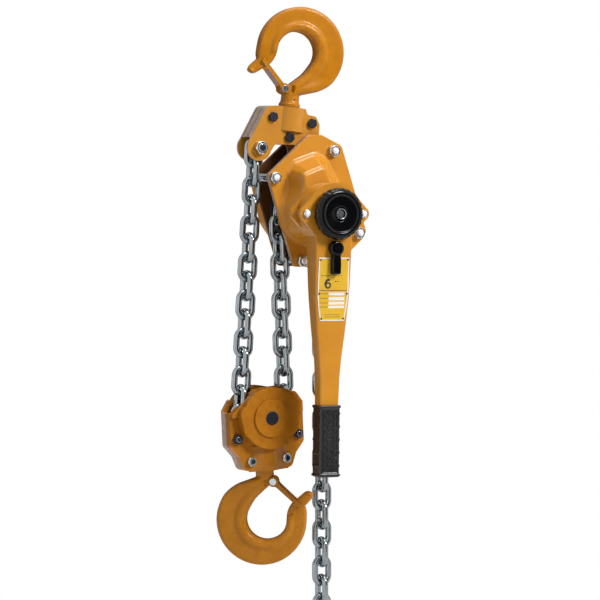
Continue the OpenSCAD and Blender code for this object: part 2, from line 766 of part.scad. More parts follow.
module load_sheave() {
    edge_r = sheave_r * cos(22.5) - link_outer_w / 2 - 0.5;
    color(dark) in_body() difference() {
        union() {
            rod(-sheave_w / 2, sheave_w / 2, sheave_d);
            rod(-plate_out, second_y + second_face + 3, journal_d);
        }
        rotate([90, 0, 0]) rotate_extrude() polygon([
            [edge_r, -groove_w / 2], [sheave_d, -groove_w / 2],
            [sheave_d, groove_w / 2], [edge_r, groove_w / 2]]);
        for (i = [0:3]) rotate([0, -(pocket_turn + 90 * i), 0]) translate([pocket_floor, 0, 0])
            rotate([0, 90, 0]) {
                reach = link_len / 2 - link_inner_w / 2;
                for (z = [-1, 1]) translate([z * reach, 0, 0]) cylinder(h = 40, d = link_outer_w + 2);
                translate([-reach, -link_outer_w / 2 - 1, 0]) cube([2 * reach, link_outer_w + 2, 40]);
            }
        rod(-100, 100, drive_shaft_d + 2 * run);
    }
}

// Direction of the middle of the pocket that holds the first flat link on the sheave
pocket_turn = live_angle + 270 - sheave_in - 22.5 - ((link_sheave + 1) % 2 == 0 ? 45 : 0);

// Involute flank: half the tooth's angle at radius q
function involute(a) = tan(a) * 180 / PI - a;
function tooth_half(z, module_mm, q) =
    let (base = z * module_mm / 2 * cos(20))
    90 / z * (1 - gear_thin) + involute(20) - involute(acos(min(1, base / max(q, base))));
gear_thin = 0.14;

function gear_outline(z, module_mm, turn = 0) =
    let (r = z * module_mm / 2, base = r * cos(20), tip = r + 0.9 * module_mm,
         root = r - 1.25 * module_mm, start = max(base, root), n = 3)
    [for (t = [0:z - 1]) each concat(
        [polar(root, turn + 360 * t / z - tooth_half(z, module_mm, start))],
        [for (k = [0:n]) let (q = mix(start, tip, k / n))
            polar(q, turn + 360 * t / z - tooth_half(z, module_mm, q))],
        [for (k = [n:-1:0]) let (q = mix(start, tip, k / n))
            polar(q, turn + 360 * t / z + tooth_half(z, module_mm, q))],
        [polar(root, turn + 360 * t / z + tooth_half(z, module_mm, start))])];

// Turn of an intermediate gear's large wheel so that a gap faces the pinion, whose tooth 0 is at pinion_turn
pinion_turn = gear_dirs[0];
function wheel_turn(dir) =
    let (phase = (dir - pinion_turn) * pinion_z / 360)
    dir + 180 + 360 / wheel_z * (0.5 + phase - floor(phase));
// A tooth of each small pinion faces the main axis, and the load gear has a gap there
load_turn = gear_dirs[0] + 180 / load_z;

module intermediate_gear(dir) {
    p = polar(gear_centre, dir);
    color(steel) in_body() {
        translate([p.x, 0, p.y]) {
            slab(first_y, first_y + first_face) polygon(gear_outline(wheel_z, first_module, wheel_turn(dir)));
            slab(second_y, first_y + 0.01) polygon(gear_outline(small_z, second_module, dir + 180));
        }
        rod(plate_out - plate_t, plate_out + gear_cover_depth - cover_t - 1, gear_post_d - 2 * run, p);
    }
}

module intermediate_gear_upper() { intermediate_gear(gear_dirs[0]); }
module intermediate_gear_lower() { intermediate_gear(gear_dirs[1]); }

module load_gear() {
    color(steel) in_body() difference() {
        slab(second_y, second_y + second_face) polygon(gear_outline(load_z, second_module, load_turn));
        rod(0, 100, journal_d);
    }
}

// ---------------------------------------------------------------- drive shaft and brake

hub_y = -plate_out - 3.5;
disc_y0 = hub_y - 6;
ratchet_y = disc_y0 - friction_t - ratchet_t;
pressure_y = ratchet_y - friction_t;
changeover_hub_d = 40;
lever_back = cover_face - 7;
lever_front = lever_back - 39;
gear_front = lever_back - 24;
handwheel_back = lever_front - 3;

module drive_shaft() {
    color(steel) in_body() {
        rod(handwheel_back - handwheel_h + 3.5, first_y + 0.01, 11);
        rod(handwheel_back - handwheel_h + 8, first_y - 0.3, drive_shaft_d);
        slab(first_y, first_y + first_face) polygon(gear_outline(pinion_z, first_module, pinion_turn));
    }
}

module brake_hub() {
    color(steel) in_body() difference() {
        union() {
            rod(disc_y0, hub_y, 66);
            rod(pressure_y + 1, hub_y, 30);
        }
        rod(-200, 200, drive_shaft_d);
    }
}

module friction_discs() {
    color([0.35, 0.28, 0.22]) in_body() {
        ring(disc_y0 - friction_t, disc_y0, 64, 30);
        ring(pressure_y, pressure_y + friction_t, 64, 30);
    }
}

ratchet_teeth = 20;
ratchet_turn = 10;
module ratchet_disc() {
    r = ratchet_d / 2;
    color(steel) in_body() difference() {
        slab(ratchet_y, ratchet_y + ratchet_t) polygon([for (i = [0:ratchet_teeth - 1]) each [
            polar(r - 5, 360 * i / ratchet_teeth + ratchet_turn),
            polar(r, 360 * i / ratchet_teeth + 2 + ratchet_turn),
            polar(r, 360 * i / ratchet_teeth + 5 + ratchet_turn)]]);
        rod(-200, 200, 30.6);
    }
}

// The changeover gear: a pressure plate in the brake cover, a hub and a toothed rim in the lever's head
module changeover_gear() {
    r = changeover_d / 2;
    teeth = 24;
    color(steel) in_body() difference() {
        union() {
            rod(pressure_y - 7, pressure_y, 64);
            rod(gear_front, pressure_y, changeover_hub_d);
            slab(gear_front, gear_front + 12) polygon([for (i = [0:teeth - 1]) each [
                polar(r - 4, 360 * i / teeth + 0.5), polar(r, 360 * i / teeth + 3.5),
                polar(r, 360 * i / teeth + 7.5), polar(r - 4, 360 * i / teeth + 10.5)]]);
        }
        rod(-200, 200, drive_shaft_d);
    }
}

module handwheel() {
    r = handwheel_d / 2;
    front = handwheel_back - handwheel_h;
    color(black) in_body() difference() {
        union() {
            translate([0, handwheel_back, 0]) rotate([90, 0, 0]) rotate_extrude() polygon(rounded([
                [0, 0, 0], [r - 8, 0, 2], [r, 5, 2], [r, 13, 2], [r - 5, handwheel_h - 2, 2.5],
                [r - 12, handwheel_h, 1], [r - 14, handwheel_h - 2, 0.6], [22, handwheel_h - 2, 0.6],
                [18, handwheel_h - 7, 0.6], [0, handwheel_h - 7, 0]], 4));
            rod(handwheel_back - 1, gear_front - 0.2, 26);
        }
        for (i = [0:11]) rod(front - 1, handwheel_back + 1, 9, polar(r + 2.6, 30 * i + 15));
        rod(-300, 200, drive_shaft_d);
    }
}

module handwheel_nut() {
    front = handwheel_back - handwheel_h + 7;
    color(steel) in_body() {
        ring(front - 5, front, 18, 11);
        ring(front - 6.5, front - 5, 18, 14);
    }
}

// ---------------------------------------------------------------- pawls

pawl_pin_d = 9;
pawls_at = [[-20, 65], [20, 62]];
pawl_y = [ratchet_y, ratchet_y + ratchet_t];

// A hooked pawl that rests against the steep side of a ratchet tooth
module pawl(p) {
    r = ratchet_d / 2;
    dir = atan2(p.y, p.x);
    tooth = 360 / ratchet_teeth;
    face = ratchet_turn + tooth * round((dir - 25 - ratchet_turn) / tooth);
    color(steel) in_body() difference() {
        union() {
            slab(pawl_y[0], pawl_y[1]) polygon([
                polar(r - 4.2, face - 1.2), polar(r + 0.8, face + 0.8), polar(r + 1.5, face + 7),
                p + polar(7, dir + 150), p + polar(7.5, dir - 80), polar(r + 0.7, face - 10)]);
            rod(pawl_y[0] - 1, pawl_y[1] + 1, 17, p);
        }
        rod(-200, 200, pawl_pin_d + 2 * run, p);
    }
}

module pawl_left() { pawl(pawls_at[0]); }
module pawl_right() { pawl(pawls_at[1]); }

module pawl_pins() {
    color(steel) in_body() for (p = pawls_at) {
        rod(pawl_y[0] - 4, -body_gap / 2 - 0.5, pawl_pin_d, p);
        rod(pawl_y[0] - 4, pawl_y[0] - 1.3, pawl_pin_d + 4, p);
    }
}

// A torsion spring wound round each pawl's pin
module pawl_springs() {
    color(dark) in_body() for (p = pawls_at)
        translate([p.x, pawl_y[1] + 2.2, p.y]) coil(1.2, pawl_pin_d / 2 + 1.1, 2, 1.7);
}

// ---------------------------------------------------------------- lever

arm_top = -30;
grip_top = -(lever_len - grip_len);

// Stations down the arm: height, width, front face, back face, corner radius
arm_stations = [
    [arm_top, lever_w_top + 3, lever_front, lever_back, 3],
    [-75, lever_w_top, lever_front + 1, lever_back - 5, 3],
    [-110, lever_w_top - 0.5, lever_front + 3, lever_back - 7.5, 3],
    [-135, lever_w_top - 2.5, lever_front + 4.4, lever_back - 9, 3],
    [-182, lever_w_top - 11, lever_front + 6.5, lever_back - 10, 3],
    [-229, lever_w_end + 6.5, lever_front + 8, lever_back - 10.5, 3],
    [-260, lever_w_end + 2, lever_front + 8.8, lever_back - 10, 3],
    [grip_top, lever_w_end, lever_front + 9.5, lever_back - 9, 3],
    [-lever_len + 12, lever_w_end - 3, lever_front + 10.5, lever_back - 10, 3]];

function arm_ring(s, grow) =
    let (w = s[1] / 2 + grow, f = s[2] - grow, b = s[3] + grow, r = max(1, s[4] + grow))
    [for (p = rounded([[-w, f, r], [-w, b, r], [w, b, r], [w, f, r]], 3)) [p.x, p.y, s[0]]];

function reversed(v) = [for (i = [len(v) - 1:-1:0]) v[i]];

module arm(grow) {
    loft([for (s = arm_stations) arm_ring(s, grow)]);
}

// The head: a disc from y0 to y1
module lever_head(y0, y1, grow) {
    rod(y0, y1, lever_head_d + 2 * grow);
}

// Two ears that run out from the head along straight sides
module lever_ears(y0, y1) {
    slab(y0, y1) {
        for (s = [-1, 1]) translate([s * ear_reach, 0]) circle(r = ear_r);
        for (s = [-1, 1]) polygon([
            [0, 0], [s * 28, 38.5], [s * (ear_reach + 5.2), 9.7],
            [s * (ear_reach + 5.2), -9.7], [s * 28, -38.5]]);
    }
}
ear_r = 11;
ear_t = 8;

module lever_shell(y0, y1) {
    difference() {
        intersection() {
            union() {
                arm(0);
                lever_head(lever_front, lever_back, 0);
                lever_ears(lever_front, lever_front + ear_t);
                lever_ears(lever_back - ear_t, lever_back);
            }
            translate([-100, y0, -lever_len - 10]) cube([200, y1 - y0, lever_len + 100]);
        }
        arm(-lever_wall);
        lever_head(lever_front + lever_wall, lever_back - lever_wall, -lever_wall);
        for (s = [-1, 1]) rod(-200, 0, 7 + 2 * run, [s * ear_reach, 0]);
        children();
    }
}

seam_y = (lever_front + lever_back) / 2 - 1;

module lever_front_shell() {
    color(orange) in_lever() lever_shell(-300, seam_y) {
        rod(-200, seam_y, 32);
        rod(-200, seam_y, selector_shaft_d + 2 * run, [0, -selector_reach]);
    }
}

module lever_rear_shell() {
    color(orange) in_lever() lever_shell(seam_y, 0) {
        rod(seam_y, 0, changeover_hub_d + 2 * run);
    }
}

// Ear bolts through both shells, with domed nuts at the front
module lever_bolts() {
    color(steel) in_lever() for (s = [-1, 1]) {
        rod(lever_front - 7, lever_back + 4, 7, [s * ear_reach, 0]);
        hexagon(lever_front - 6, lever_front, 12, [s * ear_reach, 0]);
        hexagon(lever_back, lever_back + 4, 12, [s * ear_reach, 0]);
    }
}

// Height along the lever and half the width of the nameplate
plate_shape = [[68, 27.5], [75, 27.8], [110, 28.4], [128, 28.2], [147, 25.9], [168, 22.3]];
function plate_half(z) = lookup(-z, plate_shape);
// Front face of the arm at a height
function arm_face(z) = lookup(-z, [for (s = arm_stations) [-s[0], s[2]]]);

module nameplate() {
    color([0.93, 0.75, 0.12]) in_lever() difference() {
        loft([for (s = plate_shape) let (f = arm_face(-s[0]), w = s[1]) [
            [-w, f - 0.8, -s[0]], [-w, f, -s[0]], [w, f, -s[0]], [w, f - 0.8, -s[0]]]]);
        rod(-200, 0, selector_head_d + 6, [0, -selector_reach]);
    }
}

module nameplate_rivets() {
    color(steel) in_lever() for (z = [-72, -125, -164], side = [-1, 1]) {
        f = arm_face(z);
        rod(f - 2, f - 0.95, 3, [side * (plate_half(z) - 3.5), z]);
    }
}

// The grip: a rubber sleeve with a flange at each end and five ribs down each side
module lever_grip() {
    mid = (lever_front + lever_back) / 2;
    step = 2;
    first = 13;
    pitch = (grip_len - 30) / 4;
    function rib(d) = max([for (k = [0:4]) max(0, 1 - abs(d - first - k * pitch) / 2.5)]) * 1.1;
    function flare(d) = d < 4 || grip_len - d < 5 ? 1.8 : 0;
    stops = [for (d = [0:step:grip_len]) d];
    color([0.16, 0.16, 0.17]) in_lever() difference() {
        loft([for (d = stops) let (w = grip_w / 2 + rib(d) + flare(d), h = grip_depth / 2 + flare(d) / 2)
            [for (p = rounded([[-w, mid - h, 3], [-w, mid + h, 3], [w, mid + h, 3], [w, mid - h, 3]], 3))
                [p.x, p.y, grip_top - d]]]);
        arm(0.02);
    }
}

// ---------------------------------------------------------------- selector

selector_shaft_d = 9;
selector_at = [0, -selector_reach];
module selector_knob() {
    y0 = lever_front - seat;
    color(black) in_lever() {
        rod(y0 - 12, y0, selector_head_d, selector_at);
        slab(y0 - 10, y0 - 1) polygon(rounded([
            [-selector_finger_w / 2, -selector_reach, 0], [selector_finger_w / 2, -selector_reach, 0],
            [selector_finger_w / 2, -selector_reach - selector_len, 4],
            [-selector_finger_w / 2, -selector_reach - selector_len, 4]]));
        rod(y0 - 1, gear_front + 0.1, selector_shaft_d, selector_at);
    }
}

// A two-horned pawl for the changeover gear, one horn for each way of turning
horn_angle = 35;
pawl_base_r = 9;
function horn(side, a) = polar(selector_reach - changeover_d / 2 - 0.4, 90 - side * (horn_angle + a));
module selector_pawl() {
    y0 = gear_front + 0.5;
    color(steel) in_lever() difference() {
        union() {
            rod(y0, y0 + 10.5, 2 * pawl_base_r, selector_at);
            translate([0, 0, -selector_reach]) slab(y0, y0 + 10.5) polygon([
                [-6, -6], [6, -6], polar(15, 25), horn(1, 3), horn(1, -3), [3, 12.5], [-3, 12.5],
                horn(-1, -3), horn(-1, 3), polar(15, 155)]);
        }
        rod(-200, 200, selector_shaft_d, selector_at);
    }
}

module detent_spring() {
    color(dark) in_lever() translate([0, gear_front + 5.5, -selector_reach - pawl_base_r - seat])
        rotate([180, 0, 0]) difference() {
            cylinder(h = 14, d = 6);
            translate([0, 0, -1]) cylinder(h = 16, d = 3.6);
        }
}

// ---------------------------------------------------------------- bottom block

block_bolts_at = [[-54, -30], [54, -30], [-31, -67], [31, -67]];
// Corners of the halves above the axle: where the chain goes in at the front, and elsewhere
block_mouth = [[65, 9, 3], [45, 27, 4], [20, 47, 6]];
block_cheek = [[65, 22, 6], [54, 37, 8], [22, 49, 6]];
block_side = [[65, 14, 4], [55, 29, 6], [36, 43, 8]];
block_foot = [[26, -block_sole(), 3], [42, -81, 9], [50, -60, 14], [65, -42, 8]];
function block_outline(left, right) = rounded(concat(
    [for (c = block_foot) c], right,
    [for (i = [2:-1:0]) [-left[i].x, left[i].y, left[i].z]],
    [for (i = [3:-1:0]) [-block_foot[i].x, block_foot[i].y, block_foot[i].z]]));
block_wall = 4;

// The drum's outline: a disc with fuller flanks
module drum_form(y0, y1) {
    rod(y0, y1, drum_d);
    hull() {
        for (s = [-1, 1]) rod(y0, y1, 22, [s * (drum_d / 2 - 12), -16]);
        rod(y0, y1, 24, [8 - drum_d / 2, 10]);
        rod(y0, y1, 28, [drum_d / 2 - 11, 17]);
    }
}

// One half; side is -1 for the front and 1 for the rear
module block_half(side) {
    in_y = block_gap / 2;
    out_y = drum_depth / 2;
    function at(a, b) = side > 0 ? [a, b] : [-b, -a];
    flange = at(in_y, in_y + flange_t);
    drum = at(in_y, out_y);
    disc = at(out_y - 1, out_y + 3);
    hollow = at(in_y - 1, out_y - drum_wall);
    socket = at(seat / 2, 40);
    wall = at(seat / 2, in_y + 1);
    outline = side < 0 ? block_outline(block_mouth, block_cheek) : block_outline(block_side, block_side);
    difference() {
        union() {
            slab(flange[0], flange[1]) polygon(outline);
            drum_form(drum[0], drum[1]);
            difference() {
                slab(wall[0], wall[1]) polygon(outline);
                slab(wall[0] - 1, wall[1] + 1) polygon([
                    [-65 + block_wall, 60], [-65 + block_wall, -43], [-46, -62], [-39, -76], [-20, -80],
                    [20, -80], [39, -76], [46, -62], [65 - block_wall, -43], [65 - block_wall, 60]]);
                slab(wall[0] - 1, wall[1] + 1) polygon([[-80, 12], [80, 12], [80, 60], [-80, 60]]);
            }
            rod(disc[0], disc[1], disc_d);
            intersection() {
                translate([0, 0, -block_sole()]) cylinder(h = 26, d = 48);
                translate([-40, socket[0], -100]) cube([80, socket[1] - socket[0], 200]);
            }
        }
        rod(hollow[0], hollow[1], drum_d - 2 * drum_wall);
        for (s = [-1, 1]) translate([s * idler_r - 11.5, -link_outer_w / 2 - 1.2, 8])
            cube([23, link_outer_w + 2.4, 60]);
        translate([0, 0, -hook_drop]) {
            cylinder(h = hook_reach + shank_len, d = shank_d + 2);
            cylinder(h = collar_face + 0.8, d = collar_d + 2);
            translate([0, 0, head_face - 0.2]) cylinder(h = shank_head_h + 2.2, d = collar_d + 2);
        }
        rod(-60, 60, axle_d + 2 * run);
        for (p = block_bolts_at) rod(-60, 60, block_bolt_d + 2 * run, p);
    }
}

module block_front_half() { color(orange) in_block() block_half(-1); }
module block_rear_half() { color(orange) in_block() block_half(1); }

module block_bolts() {
    in_y = block_gap / 2;
    out_y = in_y + flange_t;
    color(steel) in_block() for (p = block_bolts_at) {
        rod(-out_y - 8, out_y + 1, block_bolt_d, p);
        rod(-in_y, in_y, block_bolt_d + 2, p);
        hexagon(out_y, out_y + 6, 14, p, 15);
    }
}

module block_nuts() {
    out_y = block_gap / 2 + flange_t;
    color(steel) in_block() for (p = block_bolts_at) difference() {
        hexagon(-out_y - 7, -out_y, 14, p, 15);
        rod(-60, 0, block_bolt_d, p);
    }
}

module block_axle() {
    color(dark) in_block() rod(-drum_depth / 2 - 4, drum_depth / 2 + 4, axle_d);
}

// A grooved wheel: links on edge run in the middle groove, flat ones lie beside it
idler_w = 46;
module idler_sheave() {
    link_r = idler_r * cos(idler_step / 2);
    floor_r = link_r - chain_d / 2 - 0.3;
    groove_r = link_r - link_outer_w / 2 - 0.5;
    seat_w = link_outer_w / 2 + 1;
    color(dark) in_block() rotate([90, 0, 0]) rotate_extrude() polygon([
        [axle_d / 2 + run, -idler_w / 2], [44, -idler_w / 2], [44, -seat_w - 1.5], [floor_r, -seat_w],
        [floor_r, -groove_w / 2], [groove_r, -groove_w / 2], [groove_r, groove_w / 2],
        [floor_r, groove_w / 2], [floor_r, seat_w], [44, seat_w + 1.5], [44, idler_w / 2],
        [axle_d / 2 + run, idler_w / 2]]);
}

top_hook();
top_latch_pin();
top_latch_spring();
top_latch();
yoke_front_plate();
yoke_rear_plate();
yoke_bolts();
chain_anchor_pin();
chain_anchor_nut();
chain_dead_fall();
yoke_pin();
side_plate_front();
side_plate_rear();
stay_bolts();
stay_nuts();
sheave_bearings();
chain_guide();
chain_stripper();
brake_cover();
gear_cover();
gear_cover_screws();
pawl_pins();
pawl_springs();
chain_sheave_wrap();
load_sheave();
load_gear();
intermediate_gear_upper();
intermediate_gear_lower();
drive_shaft();
brake_hub();
friction_discs();
ratchet_disc();
changeover_gear();
handwheel();
handwheel_nut();
pawl_left();
pawl_right();
lever_front_shell();
lever_rear_shell();
lever_bolts();
nameplate();
nameplate_rivets();
lever_grip();
detent_spring();
selector_knob();
selector_pawl();
chain_live_fall();
chain_tail();
end_stop_ring();
block_front_half();
block_rear_half();
block_bolts();
block_nuts();
block_axle();
idler_sheave();
chain_idler_wrap();
bottom_hook();
bottom_latch_pin();
bottom_latch_spring();
bottom_latch();
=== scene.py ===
"""Lever chain hoist: finishes, worked pieces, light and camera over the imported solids.

Lengths are millimetres in the hoist's own frame, whose origin is the centre of the top hook's bowl,
unless a comment says metres. They become metres once, where a mesh is made.
"""

from __future__ import annotations

import json
import logging
import math
from dataclasses import dataclass, field, replace
from enum import Enum
from typing import Callable, Iterable, Sequence

import bmesh
import bpy
from mathutils import Matrix, Vector

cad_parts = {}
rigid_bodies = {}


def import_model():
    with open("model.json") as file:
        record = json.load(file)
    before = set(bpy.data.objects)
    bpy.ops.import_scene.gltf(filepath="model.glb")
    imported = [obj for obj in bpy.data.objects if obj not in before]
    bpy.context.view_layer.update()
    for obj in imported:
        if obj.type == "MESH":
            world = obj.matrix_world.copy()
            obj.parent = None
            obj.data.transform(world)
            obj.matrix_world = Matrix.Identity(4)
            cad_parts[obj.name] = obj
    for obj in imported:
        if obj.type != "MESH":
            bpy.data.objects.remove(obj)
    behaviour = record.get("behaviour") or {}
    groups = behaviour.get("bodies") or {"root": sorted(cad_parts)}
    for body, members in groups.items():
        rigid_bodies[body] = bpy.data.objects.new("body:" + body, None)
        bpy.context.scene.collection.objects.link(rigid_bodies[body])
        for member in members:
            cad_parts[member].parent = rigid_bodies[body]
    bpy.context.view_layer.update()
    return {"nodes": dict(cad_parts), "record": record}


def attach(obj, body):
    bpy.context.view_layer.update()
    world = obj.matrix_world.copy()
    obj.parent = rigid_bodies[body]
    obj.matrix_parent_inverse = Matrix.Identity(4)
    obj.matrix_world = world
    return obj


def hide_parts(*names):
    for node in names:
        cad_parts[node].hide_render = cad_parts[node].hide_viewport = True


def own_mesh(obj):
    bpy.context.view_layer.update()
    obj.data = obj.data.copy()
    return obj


LOG = logging.getLogger("hoist")
MM = 0.001
# Radius at which a turned solid is closed on its axis
CLOSED = 0.01
Point = tuple[float, float, float]
Flat = tuple[float, float]
Colour = tuple[float, float, float]

# ---------------------------------------------------------------- places

MAIN_AXIS = Vector((9.0, 0.0, -254.0))
BLOCK_AT = Vector((-59.0, 0.0, -577.0))
YOKE_LEAN = math.radians(7.0)
TOP_HOOK_TURN = math.radians(-9.0)
BOTTOM_HOOK_TURN = math.radians(-33.0)
BLOCK_LEAN = math.radians(3.0)
LEVER_LEAN = math.radians(0.8)
HOOK_DROP = 163.0


def about_y(angle: float) -> Matrix:
    """Turn about the Y axis, as a 4x4 matrix."""
    return Matrix.Rotation(angle, 4, "Y")


def about_z(angle: float) -> Matrix:
    """Turn about the Z axis, as a 4x4 matrix."""
    return Matrix.Rotation(angle, 4, "Z")


class Place(Enum):
    """The local frames that the sub-assemblies are drawn in."""

    WORLD = "world"
    BODY = "body"
    LEVER = "lever"
    YOKE = "yoke"
    BLOCK = "block"
    TOP_HOOK = "top hook"
    BOTTOM_HOOK = "bottom hook"

    def matrix(self) -> Matrix:
        """The frame's place in the hoist, in millimetres."""
        block = Matrix.Translation(BLOCK_AT) @ about_y(-BLOCK_LEAN)
        places = {
            Place.WORLD: Matrix.Identity(4),
            Place.BODY: Matrix.Translation(MAIN_AXIS),
            Place.LEVER: Matrix.Translation(MAIN_AXIS) @ about_y(LEVER_LEAN),
            Place.YOKE: about_y(YOKE_LEAN),
            Place.BLOCK: block,
            Place.TOP_HOOK: about_y(YOKE_LEAN) @ about_z(TOP_HOOK_TURN) @ about_y(math.pi),
            Place.BOTTOM_HOOK: block
            @ Matrix.Translation((0, 0, -HOOK_DROP))
            @ about_z(BOTTOM_HOOK_TURN),
        }
        return places[self]


# ---------------------------------------------------------------- finishes


def new_group(name: str, inputs: dict[str, float], output: str) -> bpy.types.NodeTree:
    """Make an empty shader node group whose sockets are all plain numbers.

    Args:
        name: the group's name.
        inputs: the inputs' names and defaults.
        output: the output's name.

    Returns:
        The group, with its input and output nodes in place.
    """
    group = bpy.data.node_groups.new(name, "ShaderNodeTree")
    for label, default in inputs.items():
        socket = group.interface.new_socket(label, in_out="INPUT", socket_type="NodeSocketFloat")
        socket.default_value = default
    group.interface.new_socket(output, in_out="OUTPUT", socket_type="NodeSocketFloat")
    group.nodes.new("NodeGroupInput")
    group.nodes.new("NodeGroupOutput")
    return group


def add_node(tree: bpy.types.NodeTree, kind: str, inputs: dict[int | str, object] | None = None,
             **settings: object) -> bpy.types.Node:
    """Add a shader node with its settings and inputs.

    Args:
        tree: the node tree.
        kind: the node's type, without the word ShaderNode.
        inputs: for an input's name or number, a constant or the socket that feeds it.
        settings: the node's own properties.

    Returns:
        The node.
    """
    node = tree.nodes.new(f"ShaderNode{kind}")
    for name, value in settings.items():
        setattr(node, name, value)
    for socket, value in (inputs or {}).items():
        if isinstance(value, bpy.types.NodeSocket):
            tree.links.new(value, node.inputs[socket])
        else:
            node.inputs[socket].default_value = value
    return node


def new_material(name: str, inputs: dict[str, object]
                 ) -> tuple[bpy.types.Material, bpy.types.Node]:
    """Make a material.

    Args:
        name: the material's name.
        inputs: constants for its surface shader, by the names of the inputs.

    Returns:
        The material and its surface shader.
    """
    material = bpy.data.materials.new(name)
    material.use_nodes = True
    shader = material.node_tree.nodes["Principled BSDF"]
    for label, value in inputs.items():
        shader.inputs[label].default_value = value
    return material, shader


class SharedEffects:
    """Node groups that more than one finish uses."""

    # Detail and roughness of the slow noise and of the fine one
    SLOW, FINE = (4.0, 0.55), (2.0, 0.5)
    # Metres from Y = 0 to the first seam, and from seam to seam
    SEAM_SHIFT, SEAM_PITCH = 0.0045, 0.0086

    def __init__(self) -> None:
        """Build each group once."""
        self.mottle = self._mottle()
        self.peel = self._peel()
        self.seams = self._seams()

    @staticmethod
    def _noise(group: bpy.types.NodeTree, detail: float, roughness: float) -> bpy.types.NodeSocket:
        """Noise over the object, whose grain is the group's Size in metres."""
        place = add_node(group, "TexCoord").outputs["Object"]
        size = group.nodes["Group Input"].outputs["Size"]
        scale = add_node(group, "Math", {0: 1.0, 1: size}, operation="DIVIDE").outputs[0]
        noise = add_node(group, "TexNoise", {"Detail": detail, "Roughness": roughness,
                                             "Vector": place, "Scale": scale})
        return noise.outputs["Fac"]

    def _mottle(self) -> bpy.types.NodeTree:
        """Slow, soft variation over a surface, as paint and plating have.

        Returns:
            A group that gives a value round 0 to 1 for a size in metres.
        """
        group = new_group("mottle", {"Size": 0.02, "Contrast": 1.0}, "Value")
        noise = self._noise(group, *self.SLOW)
        centre = add_node(group, "Math", {0: noise, 1: 0.5}, operation="SUBTRACT").outputs[0]
        contrast = group.nodes["Group Input"].outputs["Contrast"]
        spread = add_node(group, "Math", {0: centre, 1: contrast, 2: 0.5},
                          operation="MULTIPLY_ADD", use_clamp=True)
        group.links.new(spread.outputs[0], group.nodes["Group Output"].inputs["Value"])
        return group

    def _peel(self) -> bpy.types.NodeTree:
        """Fine relief: the orange peel of enamel, the grain of rubber or of a casting.

        Returns:
            A group that gives a height for a grain size in metres.
        """
        group = new_group("grain relief", {"Size": 0.002}, "Height")
        noise = self._noise(group, *self.FINE)
        group.links.new(noise, group.nodes["Group Output"].inputs["Height"])
        return group

    def _seams(self) -> bpy.types.NodeTree:
        """Dark seams across Y, where the plates of a rim lie on each other.

        Returns:
            A group that gives a mask for half a seam's width in metres.
        """
        group = new_group("plate seams", {"Width": 0.0009}, "Mask")
        place = add_node(group, "TexCoord").outputs["Object"]
        across = add_node(group, "SeparateXYZ", {0: place}).outputs["Y"]
        shift = add_node(group, "Math", {0: across, 1: self.SEAM_SHIFT}, operation="ADD").outputs[0]
        fold = add_node(group, "Math", {0: shift, 1: self.SEAM_PITCH},
                        operation="PINGPONG").outputs[0]
        width = group.nodes["Group Input"].outputs["Width"]
        near = add_node(group, "Math", {0: fold, 1: width}, operation="LESS_THAN").outputs[0]
        group.links.new(near, group.nodes["Group Output"].inputs["Mask"])
        return group


SEAM_COLOUR = (0.035, 0.022, 0.014, 1.0)
WHITE_LIGHT = (1.0, 1.0, 1.0, 1.0)
# Metres of relief for a grain of depth 1
GRAIN_HEIGHT = 0.001


@dataclass(frozen=True)
class Finish:
    """One finish and what it varies by.

    The sizes of its mottle and its grain, and half the width of its lines, are in metres.
    """

    name: str
    slot: str
    colour: Colour
    second: Colour
    metallic: float = 0.0
    roughness: float = 0.4
    roughness_spread: float = 0.1
    mottle_size: float = 0.03
    mottle_contrast: float = 1.6
    grain_size: float = 0.0015
    grain_depth: float = 0.05
    coat: float = 0.0
    coat_roughness: float = 0.08
    specular: float = 0.5
    lines: float = 0.0

    def build(self, effects: SharedEffects) -> bpy.types.Material:
        """Make the material.

        Args:
            effects: the shared node groups.

        Returns:
            The material, ready to assign.
        """
        material, shader = new_material(self.name, {
            "Metallic": self.metallic, "Specular IOR Level": self.specular,
            "Coat Weight": self.coat, "Coat Roughness": self.coat_roughness})
        tree, links = material.node_tree, material.node_tree.links
        spread = {"Size": self.mottle_size, "Contrast": self.mottle_contrast}
        mottle = add_node(tree, "Group", spread, node_tree=effects.mottle).outputs["Value"]
        pair = {0: mottle, 6: (*self.colour, 1.0), 7: (*self.second, 1.0)}
        colour = add_node(tree, "Mix", pair, data_type="RGBA").outputs[2]
        if self.lines > 0:
            seams = add_node(tree, "Group", {"Width": self.lines}, node_tree=effects.seams)
            pair = {0: seams.outputs["Mask"], 6: colour, 7: SEAM_COLOUR}
            colour = add_node(tree, "Mix", pair, data_type="RGBA").outputs[2]
        links.new(colour, shader.inputs["Base Color"])
        gloss = add_node(tree, "MapRange", {
            "Value": mottle, "To Min": self.roughness - self.roughness_spread / 2,
            "To Max": self.roughness + self.roughness_spread / 2})
        links.new(gloss.outputs["Result"], shader.inputs["Roughness"])
        if self.grain_depth > 0:
            grain = add_node(tree, "Group", {"Size": self.grain_size}, node_tree=effects.peel)
            bump = add_node(tree, "Bump", {"Strength": self.grain_depth, "Distance": GRAIN_HEIGHT,
                                           "Height": grain.outputs["Height"]})
            links.new(bump.outputs["Normal"], shader.inputs["Normal"])
        return material


